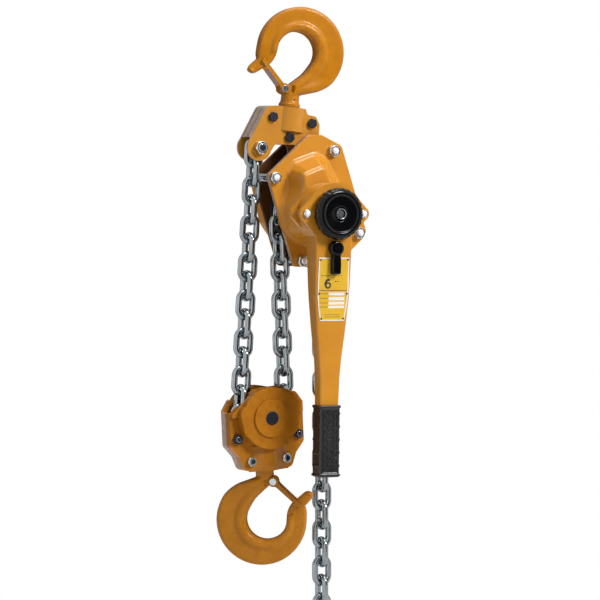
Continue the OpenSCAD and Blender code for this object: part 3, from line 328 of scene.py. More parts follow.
class Finishes:
    """Every finish on the hoist, built when first asked for."""

    ENAMEL = Finish(
        "orange enamel", "orange_paint", (0.60, 0.250, 0.018), (0.53, 0.210, 0.013), roughness=0.34,
        coat=0.22, coat_roughness=0.10, specular=0.30, grain_size=0.0018, grain_depth=0.04)
    # Darker copy of the orange enamel for the hooks and latches: the darker colour is painted
    # shade; the coarser grain and mottle are the forgings' own.
    FORGING_ENAMEL_WITH_PAINTED_SHADE = Finish(
        "orange enamel with painted shade on forgings", "orange_paint", (0.50, 0.190, 0.006), (0.40, 0.140, 0.003),
        roughness=0.30, mottle_size=0.016, mottle_contrast=1.8, coat=0.16, coat_roughness=0.10,
        specular=0.14, grain_size=0.0030, grain_depth=0.10)
    # Darker copy of the orange enamel for the yoke plates and the front side plate: the darker
    # colour is painted shade.
    PLATES_ENAMEL_WITH_PAINTED_SHADE = Finish(
        "orange enamel with painted shade on plate", "orange_paint", (0.53, 0.222, 0.018), (0.47, 0.190, 0.013),
        roughness=0.36, coat=0.20, coat_roughness=0.12, specular=0.28, grain_size=0.0018)
    # Darker copy of the orange enamel for the block, which hangs low where less light falls: the
    # darker colour is painted shade; the coarse grain and mottle are the casting's own.
    CASTING_ENAMEL_WITH_PAINTED_SHADE = Finish(
        "orange enamel with painted shade on castings", "orange_paint", (0.44, 0.165, 0.009), (0.34, 0.115, 0.005),
        roughness=0.30, mottle_size=0.012, mottle_contrast=2.0, coat=0.18, coat_roughness=0.10,
        specular=0.16, grain_size=0.0026, grain_depth=0.13)
    # Pale enamel on cut edges: partly wear, and partly a painted highlight where the edges catch
    # the light.
    EDGE_WEAR_AND_PAINTED_HIGHLIGHT = Finish(
        "cut edge's worn enamel with painted highlight", "orange_paint", (0.50, 0.37, 0.30), (0.36, 0.25, 0.20),
        metallic=0.35, roughness=0.5, mottle_size=0.010, mottle_contrast=2.4, grain_depth=0.06)
    # The same pale edge with painted highlight on the yoke's rims, with the dark seams where the
    # plates lie on each other.
    RIM_EDGE = replace(EDGE_WEAR_AND_PAINTED_HIGHLIGHT, name="stacked plates' worn rim with painted highlight", colour=(0.46, 0.35, 0.29),
                       second=(0.33, 0.24, 0.19), lines=0.0009)
    # The rear side plate's orange enamel darkened to brown: painted shade for its inner face, which
    # lies between the plates.
    PAINTED_SHADE_BROWN = Finish(
        "orange enamel browned as painted shade", "primer", (0.115, 0.038, 0.005), (0.080, 0.025, 0.003), roughness=0.5,
        specular=0.2)
    ZINC = Finish(
        "zinc plate", "zinc_steel", (0.54, 0.57, 0.59), (0.62, 0.65, 0.67), metallic=1.0,
        roughness=0.22, roughness_spread=0.08, mottle_size=0.02, grain_size=0.003,
        grain_depth=0.02)
    CHAIN = Finish(
        "zinc plated chain", "zinc_steel", (0.235, 0.265, 0.28), (0.36, 0.39, 0.405), metallic=1.0,
        roughness=0.14, roughness_spread=0.06, mottle_size=0.02, grain_size=0.004,
        grain_depth=0.03)
    BRIGHT = Finish(
        "bright bolt end", "zinc_steel", (0.90, 0.91, 0.93), (0.82, 0.84, 0.87), metallic=0.45,
        roughness=0.42, grain_depth=0.02)
    # Blackened steel; the same dark finish is also painted shade in the handwheel nut's recess and
    # in the gap under the top hook's collar.
    DARK_STEEL_AND_SHADE = Finish(
        "blackened steel and painted shade", "blackened_steel", (0.022, 0.026, 0.036), (0.036, 0.041, 0.054),
        metallic=0.5, roughness=0.30, specular=0.3, grain_depth=0.04)
    CAST = Finish(
        "dark casting", "blackened_steel", (0.030, 0.030, 0.034), (0.050, 0.050, 0.054),
        metallic=0.3, roughness=0.55, grain_size=0.001, grain_depth=0.3)
    GLOSS_BLACK = Finish(
        "gloss black moulding", "black_plastic", (0.0020, 0.0020, 0.0024), (0.0032, 0.0032, 0.0038),
        roughness=0.13, roughness_spread=0.04, specular=0.22, grain_depth=0.02)
    RUBBER = Finish(
        "black rubber", "black_rubber", (0.007, 0.007, 0.008), (0.011, 0.011, 0.012),
        roughness=0.30, grain_size=0.0008, grain_depth=0.12)
    YELLOW = Finish(
        "yellow label", "yellow_plate", (0.72, 0.44, 0.030), (0.64, 0.37, 0.020), specular=0.3,
        grain_depth=0.0)
    WHITE = Finish(
        "white label ink", "yellow_plate", (0.80, 0.78, 0.72), (0.70, 0.68, 0.62), roughness=0.45,
        grain_depth=0.0)
    INK = Finish(
        "black label ink", "yellow_plate", (0.018, 0.016, 0.014), (0.024, 0.022, 0.020),
        roughness=0.5, grain_depth=0.0)
    LINING = Finish(
        "friction lining", "friction_lining", (0.10, 0.07, 0.05), (0.14, 0.10, 0.07),
        roughness=0.8, grain_depth=0.3)

    def __init__(self) -> None:
        """Start with no material built."""
        self.effects = SharedEffects()
        self._made: dict[str, bpy.types.Material] = {}

    def material(self, finish: Finish) -> bpy.types.Material:
        """The material of a finish, made once."""
        if finish.name not in self._made:
            self._made[finish.name] = finish.build(self.effects)
        return self._made[finish.name]


# ---------------------------------------------------------------- meshes


@dataclass
class Shape:
    """Corners and faces of one piece, in millimetres in a local frame."""

    points: list[Point] = field(default_factory=list)
    faces: list[tuple[int, ...]] = field(default_factory=list)

    def add(self, other: "Shape") -> "Shape":
        """Join another shape to this one as its own shell."""
        start = len(self.points)
        self.points += other.points
        self.faces += [tuple(start + i for i in f) for f in other.faces]
        return self

    def moved(self, matrix: Matrix) -> "Shape":
        """This shape under a matrix in millimetres."""
        return Shape([tuple(matrix @ Vector(p)) for p in self.points], list(self.faces))

    def at(self, x: float, z: float) -> "Shape":
        """This shape moved along X and Z."""
        return self.moved(Matrix.Translation((x, 0, z)))

    @staticmethod
    def loft(rings: Sequence[Sequence[Point]], closed: bool = False) -> "Shape":
        """A skin over rings with equal numbers of points.

        Args:
            rings: the rings in order.
            closed: whether the last ring joins the first, or both are filled.

        Returns:
            The skin.
        """
        count = len(rings[0])
        shape = Shape([tuple(p) for ring in rings for p in ring])
        last = len(rings) if closed else len(rings) - 1
        for i in range(last):
            a, b = i * count, (i + 1) % len(rings) * count
            for j in range(count):
                k = (j + 1) % count
                shape.faces.append((a + j, b + j, b + k, a + k))
        if not closed:
            shape.faces.append(tuple(range(count)))
            shape.faces.append(tuple(reversed(range(last * count, len(rings) * count))))
        return shape

    @staticmethod
    def lathe(profile: Sequence[Flat], steps: int = 64,
              ripple: Callable[[float, float, float], float] | None = None) -> "Shape":
        """A solid turned about the Y axis.

        Args:
            profile: radius and Y of each corner, in order.
            steps: how many flats go round.
            ripple: radius from (radius, y, angle), where the edge isn't round.

        Returns:
            The turned solid.
        """
        rings = []
        for i in range(steps):
            angle = 2 * math.pi * i / steps
            ring = []
            for radius, y in profile:
                r = ripple(radius, y, angle) if ripple else radius
                ring.append((r * math.cos(angle), y, r * math.sin(angle)))
            rings.append(ring)
        count = len(profile)
        shape = Shape([p for ring in rings for p in ring])
        for i in range(steps):
            a, b = i * count, (i + 1) % steps * count
            for j in range(count - 1):
                shape.faces.append((a + j, a + j + 1, b + j + 1, b + j))
        return shape


def polar(radius: float, angle: float) -> Flat:
    """The point at a radius and an angle in degrees."""
    return radius * math.cos(math.radians(angle)), radius * math.sin(math.radians(angle))


def circle(radius: float, steps: int = 48, start: float = 0.0, sweep: float = 360.0) -> list[Flat]:
    """Points of a circle or an arc.

    Args:
        radius: the circle's radius.
        steps: how many points; an arc has one more at its end.
        start: angle of the first point, in degrees.
        sweep: how far it goes, in degrees.

    Returns:
        The points in order.
    """
    count = steps if abs(sweep) >= 360 else steps + 1
    return [polar(radius, start + sweep * i / steps) for i in range(count)]


def rounded(corners: Sequence[Point], steps: int = 6) -> list[Flat]:
    """A closed outline whose corners (x, z, radius) are rounded.

    Args:
        corners: the corners in order.
        steps: how many flats each arc has.

    Returns:
        The outline's points.
    """
    outline: list[Flat] = []
    count = len(corners)
    for i, (x, z, radius) in enumerate(corners):
        here = Vector((x, z))
        before = Vector(corners[i - 1][:2]) - here
        after = Vector(corners[(i + 1) % count][:2]) - here
        if radius <= 0:
            outline.append((x, z))
            continue
        u, v = before.normalized(), after.normalized()
        half = math.acos(max(-1.0, min(1.0, u.dot(v)))) / 2
        centre = here + (u + v).normalized() * radius / math.sin(half)
        start = here + u * radius / math.tan(half) - centre
        end = here + v * radius / math.tan(half) - centre
        a0, a1 = math.atan2(start.y, start.x), math.atan2(end.y, end.x)
        sweep = (a1 - a0 + 3 * math.pi) % (2 * math.pi) - math.pi
        for k in range(steps + 1):
            a = a0 + sweep * k / steps
            outline.append((centre.x + radius * math.cos(a), centre.y + radius * math.sin(a)))
    return outline


def smooth_run(values: Sequence[Sequence[float]], steps: int) -> list[list[float]]:
    """A smooth run of values through the given ones.

    Args:
        values: the stations.
        steps: how many steps go between two stations.

    Returns:
        The stations and the steps between them.
    """
    last = len(values) - 1
    run = []
    for i in range(last):
        a, b = values[max(i - 1, 0)], values[i]
        c, d = values[i + 1], values[min(i + 2, last)]
        for k in range(steps):
            t = k / steps
            run.append([
                0.5 * (2 * q + (r - p) * t + (2 * p - 5 * q + 4 * r - s) * t * t
                       + (3 * q - p - 3 * r + s) * t ** 3)
                for p, q, r, s in zip(a, b, c, d)
            ])
    run.append(list(values[last]))
    return run


def reach(outline: Sequence[Flat], centre: Flat, angle: float) -> float:
    """How far an outline lies from a point inside it.

    Args:
        outline: the closed outline.
        centre: the point inside.
        angle: the direction, in radians.

    Returns:
        The distance along that direction.
    """
    ux, uz = math.cos(angle), math.sin(angle)
    best = 0.0
    for (ax, az), (bx, bz) in zip(outline, list(outline[1:]) + [outline[0]]):
        ax, az, bx, bz = ax - centre[0], az - centre[1], bx - centre[0], bz - centre[1]
        ex, ez = bx - ax, bz - az
        cross = ux * ez - uz * ex
        if abs(cross) < 1e-9:
            continue
        t = (ax * ez - az * ex) / cross
        w = (ax * uz - az * ux) / cross
        if -1e-6 <= w <= 1 + 1e-6 and t > best:
            best = t
    return best


@dataclass
class RayForm:
    """A pressed or cast form whose sections across Y are all seen from one centre line."""

    centre: Flat
    rays: int = 240
    rings: list[list[Point]] = field(default_factory=list)

    def turns(self) -> list[float]:
        """The angles of the rays, in radians."""
        return [2 * math.pi * i / self.rays for i in range(self.rays)]

    def spans(self, outline: Sequence[Flat]) -> list[float]:
        """Distances of an outline from the centre line, one for each ray."""
        return [reach(outline, self.centre, a) for a in self.turns()]

    def ring(self, spans: Sequence[float], y: float) -> "RayForm":
        """Add a section at a height along Y."""
        cx, cz = self.centre
        self.rings.append([(cx + r * math.cos(a), y, cz + r * math.sin(a))
                           for r, a in zip(spans, self.turns())])
        return self

    def wall(self, low: Sequence[float], high: Sequence[float], y0: float, y1: float,
             foot: float, brow: float, steps: int = 5) -> "RayForm":
        """Add a wall with a hollow fillet at its foot and a round one at its brow.

        Args:
            low: spans where the wall leaves the lower face.
            high: spans where it meets the upper face.
            y0: the lower face.
            y1: the upper face.
            foot: radius of the hollow fillet.
            brow: radius of the round fillet.
            steps: flats in each fillet.

        Returns:
            The form itself.
        """
        rise = 1 if y1 > y0 else -1
        height = abs(y1 - y0)
        gap = [a - b for a, b in zip(low, high)]
        bends = [(math.cos(a), math.sin(a))
                 for a in (math.pi / 2 * k / steps for k in range(steps + 1))]
        for out, up in [*[(foot * (1 - sin), foot * (1 - cos)) for cos, sin in bends],
                        *[(-brow * (1 - cos), height - brow * (1 - sin)) for cos, sin in bends]]:
            share = max(0.0, min(1.0, up / height))
            self.ring([b + g * (1 - share) + out for b, g in zip(high, gap)], y0 + rise * up)
        return self

    def shape(self) -> Shape:
        """The closed skin over all the sections."""
        return Shape.loft(self.rings, closed=True)


class Workshop:
    """Turns shapes into objects and dresses them."""

    # Metres within which corners are one, and degrees below which faces are one flat
    WELD, FLAT_ANGLE = 2e-6, 0.5
    # Degrees above which an edge is bevelled, and above which a bevelled piece shows a sharp edge
    BEVEL_ANGLE, SHARP_ANGLE = 32.0, 60.0
    BEVEL_STEPS = 2

    def __init__(self, finishes: Finishes, nodes: dict[str, bpy.types.Object],
                 bodies: dict[str, Sequence[str]]) -> None:
        """Keep what every piece needs.

        Args:
            finishes: the materials.
            nodes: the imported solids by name.
            bodies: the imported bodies, each with its solids.
        """
        self.finishes = finishes
        self.nodes = nodes
        self.body_of = {n: body for body, names in bodies.items() for n in names}

    def make(self, name: str, shape: Shape, place: Place, body: str, finish: Finish,
             replaces: Sequence[str] = (), angle: float = 35.0) -> bpy.types.Object:
        """Make one piece of the hoist.

        Args:
            name: the piece's name.
            shape: its corners and faces.
            place: the frame that the shape is drawn in.
            body: the body that carries it.
            finish: its finish.
            replaces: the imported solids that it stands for.
            angle: edges sharper than this many degrees stay sharp.

        Returns:
            The new object.
        """
        matrix = Matrix.Scale(MM, 4) @ place.matrix()
        mesh = bpy.data.meshes.new(name)
        mesh.from_pydata([tuple(matrix @ Vector(p)) for p in shape.points], [], shape.faces)
        self._turn_outward(mesh)
        return self._set_up(name, mesh, body, finish, replaces, 0.0, angle)

    def make_all(self, place: Place, body: str,
                 rows: Iterable[tuple[str, Shape, Finish, Sequence[str]]],
                 angle: float = 35.0) -> None:
        """Make several pieces in one place and on one body.

        Args:
            place: the frame that the shapes are drawn in.
            body: the body that carries them.
            rows: each piece's name, shape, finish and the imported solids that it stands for.
            angle: edges sharper than this many degrees stay sharp.
        """
        for name, shape, finish, nodes in rows:
            self.make(name, shape, place, body, finish, nodes, angle)

    def rework(self, node: str, finish: Finish, bevel: float) -> bpy.types.Object:
        """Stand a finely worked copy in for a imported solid.

        Args:
            node: the solid's name.
            finish: its finish.
            bevel: width of the worn edges in millimetres.

        Returns:
            The copy.
        """
        source = self.nodes[node]
        mesh = source.data.copy()
        mesh.name = f"{node}_worked"
        mesh.materials.clear()
        self._turn_outward(mesh, weld=True)
        return self._set_up(f"{node}_worked", mesh, self.body_of[node], finish, [node], bevel,
                            self.BEVEL_ANGLE)

    def paint(self, piece: bpy.types.Object, finish: Finish,
              where: Callable[[Vector, Vector], bool], place: Place = Place.WORLD) -> None:
        """Give some faces of a piece another finish.

        Args:
            piece: the piece.
            finish: the other finish.
            where: says from a face's middle and outward direction whether it gets that finish.
            place: the frame of the middle, in millimetres, and of the direction.
        """
        mesh = piece.data
        mesh.materials.append(self.finishes.material(finish))
        slot = len(mesh.materials) - 1
        to_place = (Matrix.Scale(MM, 4) @ place.matrix()).inverted()
        turn = place.matrix().to_3x3().inverted()
        for face in mesh.polygons:
            if where(to_place @ face.center, turn @ face.normal):
                face.material_index = slot

    def _set_up(self, name: str, mesh: bpy.types.Mesh, body: str, finish: Finish,
                replaces: Sequence[str], bevel: float, angle: float) -> bpy.types.Object:
        """Turn a mesh into a piece with its material, bevels and smooth shading."""
        piece = bpy.data.objects.new(name, mesh)
        bpy.context.scene.collection.objects.link(piece)
        mesh.materials.append(self.finishes.material(finish))
        mesh.polygons.foreach_set("use_smooth", [True] * len(mesh.polygons))
        if bevel > 0:
            round_off = piece.modifiers.new("worn edges", "BEVEL")
            round_off.width = bevel * MM
            round_off.segments = self.BEVEL_STEPS
            round_off.limit_method = "ANGLE"
            round_off.angle_limit = math.radians(angle)
        sharp = self.SHARP_ANGLE if bevel > 0 else angle
        mesh.set_sharp_from_angle(angle=math.radians(sharp))
        piece.modifiers.new("flat faces read flat", "WEIGHTED_NORMAL").keep_sharp = True
        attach(piece, body)
        if replaces:
            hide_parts(*replaces)
        LOG.info("%s rides on %s", name, body)
        return piece

    def _turn_outward(self, mesh: bpy.types.Mesh, weld: bool = False) -> None:
        """Turn every face of a mesh outward, and first weld its doubled corners if asked."""
        work = bmesh.new()
        work.from_mesh(mesh)
        if weld:
            bmesh.ops.remove_doubles(work, verts=work.verts, dist=self.WELD)
            bmesh.ops.dissolve_limit(work, angle_limit=math.radians(self.FLAT_ANGLE),
                                     verts=work.verts, edges=work.edges)
        bmesh.ops.recalc_face_normals(work, faces=work.faces)
        work.to_mesh(mesh)
        work.free()


# ---------------------------------------------------------------- studio


@dataclass(frozen=True)
class Lamp:
    """A soft lamp: places and sizes in metres, power in watts."""

    name: str
    at: Point
    aim: Point
    size: Flat
    power: float

    def hang(self) -> None:
        """Put the lamp into the scene."""
        data = bpy.data.lights.new(self.name, "AREA")
        data.shape = "RECTANGLE"
        data.size, data.size_y = self.size
        data.energy = self.power
        lamp = bpy.data.objects.new(self.name, data)
        lamp.location = self.at
        towards = Vector(self.aim) - Vector(self.at)
        lamp.rotation_euler = towards.to_track_quat("-Z", "Y").to_euler()
        bpy.context.scene.collection.objects.link(lamp)


@dataclass
class Studio:
    """White backdrop, soft lamps and the camera."""

    # Direction of the camera in degrees from the -Y side, its distance, and the height of its axis
    azimuth: float = -28.0
    distance: float = 5443.0
    horizon_z: float = -148.0
    # The lens and the picture in pixels, and how far down the picture the horizon lies
    focal_px: float = 3426.0
    picture_px: float = 600.0
    horizon_px: float = 145.6
    sensor: float = 36.0
    clip_end: float = 40.0
    # The floor's height, then in metres half its side and how far out it starts and ends to fade
    floor_z: float = -1120.0
    floor_side: float = 9.0
    floor_from: float = 1.30
    floor_to: float = 1.62
    # The room's light from below and from above
    room_low: float = 0.07
    room_high: float = 0.24
    lamps: tuple[Lamp, ...] = (
        Lamp("key", (1.5, -3.0, 1.8), (0.0, 0.0, -0.35), (1.1, 1.1), 140.0),
        Lamp("fill", (-2.7, -2.4, 0.3), (0.0, 0.0, -0.4), (0.5, 2.4), 3.5),
        Lamp("edge left", (-2.4, 0.9, 0.1), (0.0, 0.0, -0.35), (0.5, 2.4), 5.0),
        Lamp("top", (0.2, -0.4, 2.4), (0.0, 0.0, -0.2), (1.4, 1.4), 45.0),
    )

    def camera(self) -> None:
        """Set the camera level with the upper body, and tip it down onto the hoist."""
        data = bpy.data.cameras.new("camera")
        data.sensor_width = self.sensor
        data.lens = self.focal_px / self.picture_px * data.sensor_width
        data.clip_end = self.clip_end
        camera = bpy.data.objects.new("camera", data)
        turn = math.radians(self.azimuth)
        camera.location = (
            (MAIN_AXIS.x + math.sin(turn) * self.distance) * MM,
            -math.cos(turn) * self.distance * MM,
            self.horizon_z * MM,
        )
        down = math.atan((self.picture_px / 2 - self.horizon_px) / self.focal_px)
        camera.rotation_euler = (math.pi / 2 - down, 0.0, turn)
        bpy.context.scene.collection.objects.link(camera)
        bpy.context.scene.camera = camera

    @staticmethod
    def seen_white(tree: bpy.types.NodeTree) -> bpy.types.NodeSocket:
        """A mask that is 1 for what the camera, a reflection or a look through glass shows."""
        path = add_node(tree, "LightPath").outputs
        either = add_node(tree, "Math", {0: path["Is Camera Ray"], 1: path["Is Glossy Ray"]},
                          operation="MAXIMUM").outputs[0]
        return add_node(tree, "Math", {0: either, 1: path["Is Transmission Ray"]},
                        operation="MAXIMUM").outputs[0]

    def world(self) -> None:
        """A white room for the camera and for reflections; its soft light fades downwards."""
        world = bpy.data.worlds.new("studio")
        bpy.context.scene.world = world
        world.use_nodes = True
        tree = world.node_tree
        where = add_node(tree, "TexCoord").outputs["Generated"]
        height = add_node(tree, "SeparateXYZ", {0: where}).outputs["Z"]
        room = add_node(tree, "MapRange", {"Value": height, "From Min": -1.0, "From Max": 1.0,
                                           "To Min": self.room_low, "To Max": self.room_high})
        pair = {0: self.seen_white(tree), 2: room.outputs["Result"], 3: 1.0}
        choose = add_node(tree, "Mix", pair, data_type="FLOAT")
        background = tree.nodes["Background"]
        background.inputs["Color"].default_value = WHITE_LIGHT
        tree.links.new(choose.outputs[0], background.inputs["Strength"])

    @staticmethod
    def sheet(name: str, corners_at: Sequence[Vector], material: bpy.types.Material
              ) -> bpy.types.Object:
        """Add a flat sheet that belongs to the set."""
        mesh = bpy.data.meshes.new(name)
        mesh.from_pydata(corners_at, [], [(0, 1, 2, 3)])
        mesh.materials.append(material)
        sheet = bpy.data.objects.new(name, mesh)
        bpy.context.scene.collection.objects.link(sheet)
        return sheet

    def flag(self, name: str, azimuth: float, away: float, size: Flat, height: float) -> None:
        """Stand a dark screen beside the set, which only reflections show.

        Args:
            name: the screen's name.
            azimuth: its direction from the hoist, in degrees from the -Y side towards +X.
            away: its distance in metres.
            size: its width and height in metres.
            height: height of its middle in metres.
        """
        turn = math.radians(azimuth)
        middle = Vector((math.sin(turn) * away, -math.cos(turn) * away, height))
        across = Vector((math.cos(turn), math.sin(turn), 0.0)) * size[0] / 2
        up = Vector((0.0, 0.0, size[1] / 2))
        cloth, _ = new_material(f"{name} cloth", {
            "Base Color": (0.03, 0.03, 0.03, 1.0), "Roughness": 1.0, "Specular IOR Level": 0.0})
        screen = self.sheet(name, [middle - across - up, middle + across - up,
                                   middle + across + up, middle - across + up], cloth)
        screen.visible_camera = screen.visible_diffuse = False
        screen.visible_transmission = screen.visible_shadow = False

    def floor(self) -> None:
        """A pale floor under the chain, which keeps its shadow and fades into the white room."""
        side, z = self.floor_side, self.floor_z * MM
        material, shader = new_material("pale floor", {"Base Color": (0.86, 0.86, 0.86, 1.0),
                                                       "Roughness": 0.8})
        tree = material.node_tree
        white = add_node(tree, "Emission", {"Color": WHITE_LIGHT})
        place = add_node(tree, "TexCoord").outputs["Object"]
        away = add_node(tree, "VectorMath", {0: place}, operation="LENGTH").outputs["Value"]
        fade = add_node(tree, "MapRange", {"Value": away, "From Min": self.floor_from,
                                           "From Max": self.floor_to}).outputs["Result"]
        share = add_node(tree, "Math", {0: fade, 1: self.seen_white(tree)}, operation="MULTIPLY")
        blend = add_node(tree, "MixShader", {0: share.outputs[0], 1: shader.outputs[0],
                                             2: white.outputs[0]})
        tree.links.new(blend.outputs[0], tree.nodes["Material Output"].inputs["Surface"])
        self.sheet("floor", [Vector((-side, -side, z)), Vector((side, -side, z)),
                             Vector((side, side, z)), Vector((-side, side, z))], material)

    def build(self) -> None:
        """Set up the whole studio."""
        self.camera()
        self.world()
        self.floor()
        self.flag("front screen", azimuth=14.0, away=2.7, size=(2.4, 3.2), height=-0.4)
        self.flag("back screen", azimuth=152.0, away=1.6, size=(5.0, 2.6), height=-0.5)
        for lamp in self.lamps:
            lamp.hang()
        bpy.context.scene.view_settings.view_transform = "Standard"


# ---------------------------------------------------------------- the hoist


# Places in the body's own frame, whose origin is the load sheave's axis
PLATE_CORNERS: tuple[Point, ...] = (
    (-73, 60, 6), (0, 123, 14), (23, 123, 14), (59, 106.1, 12),
    (104, -30, 8), (98, -42, 8), (45, -88, 10), (-26.5, -85, 8),
)
STAYS: tuple[Flat, ...] = ((-62, 55.5), (43, 97.6), (88, -33), (-13.5, -76))
COVER_OUT = 30.0
# Y where the handwheel's hub and the selector's shaft end, behind the lever's front face
SHAFT_END = -101.0
# Places of the block's bolts, from its axle
BLOCK_BOLTS: tuple[Flat, ...] = ((-54, -30), (54, -30), (-31, -67), (31, -67))


def cut_face(middle: Vector, outward: Vector) -> bool:
    """Whether a face is part of a plate's cut outline."""
    return abs(outward.y) < 0.3


@dataclass
class Fasteners:
    """Hexagon nuts with a sunk ring round a domed bolt end."""

    shop: Workshop
    stay_d: float = 10.0
    nut_af: float = 17.0
    nut_h: float = 9.0
    bolt_out: float = 4.0
    stay_turns: tuple[float, ...] = (15, 23, 9, 19)
    # Steps round a nut, round a bar, and over a bar's dome
    sides: int = 72
    bar_sides: int = 40
    dome_steps: int = 8
    # The nut's worn seat: how far in and how deep
    seat_edge: Flat = (0.3, 0.5)
    # Depth of its chamfer at the flats, the chamfer's slope, and how far in the face starts
    chamfer: float = 0.5
    slope: float = 0.75
    land: float = 0.6
    # The sunk ring round the bore: how far out its two edges lie, then its depth there and inside
    sunk: tuple[float, ...] = (1.7, 1.2, 0.7, 1.6)

    def nut(self, across: float, front: float, back: float, bore: float, at: Flat,
            turn: float) -> Shape:
        """A chamfered hexagon nut.

        Args:
            across: its width across flats.
            front: Y of its outer face.
            back: Y of its seat.
            bore: radius of its thread.
            at: its place in X and Z.
            turn: how far it is turned, in degrees.

        Returns:
            The nut.
        """
        out = 1 if back > front else -1
        flat = across / 2
        deep = abs(back - front)
        # Each ring's radius and depth from the width of the hexagon in a direction
        edge_in, edge_deep = self.seat_edge
        sunk_out, sunk_in, sunk_deep, bore_deep = self.sunk
        sections: list[Callable[[float], Flat]] = [
            lambda h: (bore, deep), lambda h: (h - edge_in, deep),
            lambda h: (h, deep - edge_deep),
            lambda h: (h, self.chamfer + (h - flat) * self.slope),
            lambda h: (flat - self.land, 0.0), lambda h: (bore + sunk_out, 0.0),
            lambda h: (bore + sunk_in, sunk_deep), lambda h: (bore, bore_deep)]
        rings: list[list[Point]] = []
        for section in sections:
            points = []
            for i in range(self.sides):
                a = 2 * math.pi * i / self.sides
                off = (math.degrees(a) - turn + 360) % 60 - 30
                r, depth = section(flat / math.cos(math.radians(off)))
                points.append((at[0] + r * math.cos(a), front + out * depth,
                               at[1] + r * math.sin(a)))
            rings.append(points)
        return Shape.loft(rings, closed=True)

    def stud(self, radius: float, tip: float, back: float, dome: float, at: Flat) -> Shape:
        """A round bar with a domed end at its tip.

        Args:
            radius: the bar's radius.
            tip: Y of the dome's top.
            back: Y of the bar's other end.
            dome: the dome's height.
            at: its place in X and Z.

        Returns:
            The bar.
        """
        out = 1 if back > tip else -1
        steps = self.dome_steps
        turns = [math.pi / 2 * k / steps for k in range(1, steps + 1)]
        profile = [(radius * math.sin(a), tip + out * dome * (1 - math.cos(a))) for a in turns]
        bar = Shape.lathe([(CLOSED, tip), *profile, (radius, back), (CLOSED, back)],
                          self.bar_sides)
        return bar.at(*at)

    def stays(self) -> None:
        """The stays that hold the side plates together, and their nuts."""
        nuts, front_ends, bars = Shape(), Shape(), Shape()
        bore, bar_r, nut_out = self.stay_d / 2, self.stay_d / 2 - 0.1, COVER_OUT + self.nut_h
        for i, (at, turn) in enumerate(zip(STAYS, self.stay_turns)):
            nuts.add(self.nut(self.nut_af, -nut_out, -COVER_OUT, bore, at, turn))
            nuts.add(self.nut(self.nut_af, nut_out, COVER_OUT, bore, at, turn))
            front_ends.add(self.stud(bar_r, -nut_out - self.bolt_out, -nut_out + 2, 2.2, at))
            bars.add(self.stud(bar_r, nut_out + 1, -COVER_OUT - 5, 0.8, at))
            if i < 3:
                collar = Shape.lathe(
                    [(5, -22), (6.6, -22), (7, -21.6), (7, 21.6), (6.6, 22), (5, 22)],
                    self.bar_sides)
                bars.add(collar.at(*at))
        self.shop.make_all(Place.BODY, "frame", [
            ("stay_nuts_turned", nuts, Finishes.ZINC, ["stay_nuts"]),
            ("stay_bars", bars, Finishes.ZINC, ["stay_bolts"]),
            ("stay_ends", front_ends, Finishes.BRIGHT, [])])

    def ears(self) -> None:
        """The two bolts through the lever's ears."""
        reach_x, front, back, across, bore = 50.0, -116.0, -77.0, 12.0, 3.5
        bolts, ends = Shape(), Shape()
        for side in (-1, 1):
            at = (side * reach_x, 0.0)
            bolts.add(self.nut(across, front - 5, front, bore, at, 10.0))
            bolts.add(self.nut(across, back + 4, back, bore, at, 10.0))
            bolts.add(self.stud(bore, back + 4.0, front - 3, 0.5, at))
            ends.add(self.stud(4.6, front - 7, front - 4, 2.4, at))
        self.shop.make_all(Place.LEVER, "lever", [
            ("ear_bolts", bolts, Finishes.ZINC, ["lever_bolts"]),
            ("ear_domes", ends, Finishes.BRIGHT, [])])

    def anchor(self) -> None:
        """The nut on the pin that holds the chain's dead end."""
        across, front, back, bore, at = 19.0, -29.0, -19.0, 6.5, (-73.0, -151.0)
        nut = self.nut(across, front, back, bore, at, 7.0)
        pin = self.stud(4.9, front - 2.3, front - 1.0, 0.3, at)
        self.shop.make_all(Place.WORLD, "yoke", [
            ("anchor_nut_turned", nut, Finishes.ZINC, ["chain_anchor_nut"]),
            ("anchor_pin_end", pin, Finishes.DARK_STEEL_AND_SHADE, [])])

    def block(self) -> None:
        """The nuts on the block's four bolts: bright below, darker above, all with dark ends."""
        across, front, back, bore = 14.0, -22.0, -15.0, 4.5
        bright, dark, ends = Shape(), Shape(), Shape()
        for at in BLOCK_BOLTS:
            nuts, end_r = (bright, 4.3) if at[1] < -50 else (dark, 3.6)
            nuts.add(self.nut(across, front, back, bore, at, 15.0 + at[0] / 4))
            ends.add(self.stud(end_r, front - 1.3, front + 1, 0.4, at))
        self.shop.make_all(Place.BLOCK, "block", [
            ("block_nuts_bright", bright, Finishes.ZINC, ["block_nuts"]),
            ("block_nuts_dark", dark, Finishes.DARK_STEEL_AND_SHADE, ["block_nuts"]),
            ("block_bolt_ends", ends, Finishes.DARK_STEEL_AND_SHADE, [])])

    def build(self) -> None:
        """Make all the fasteners that are seen closely."""
        self.stays()
        self.ears()
        self.anchor()
        self.block()


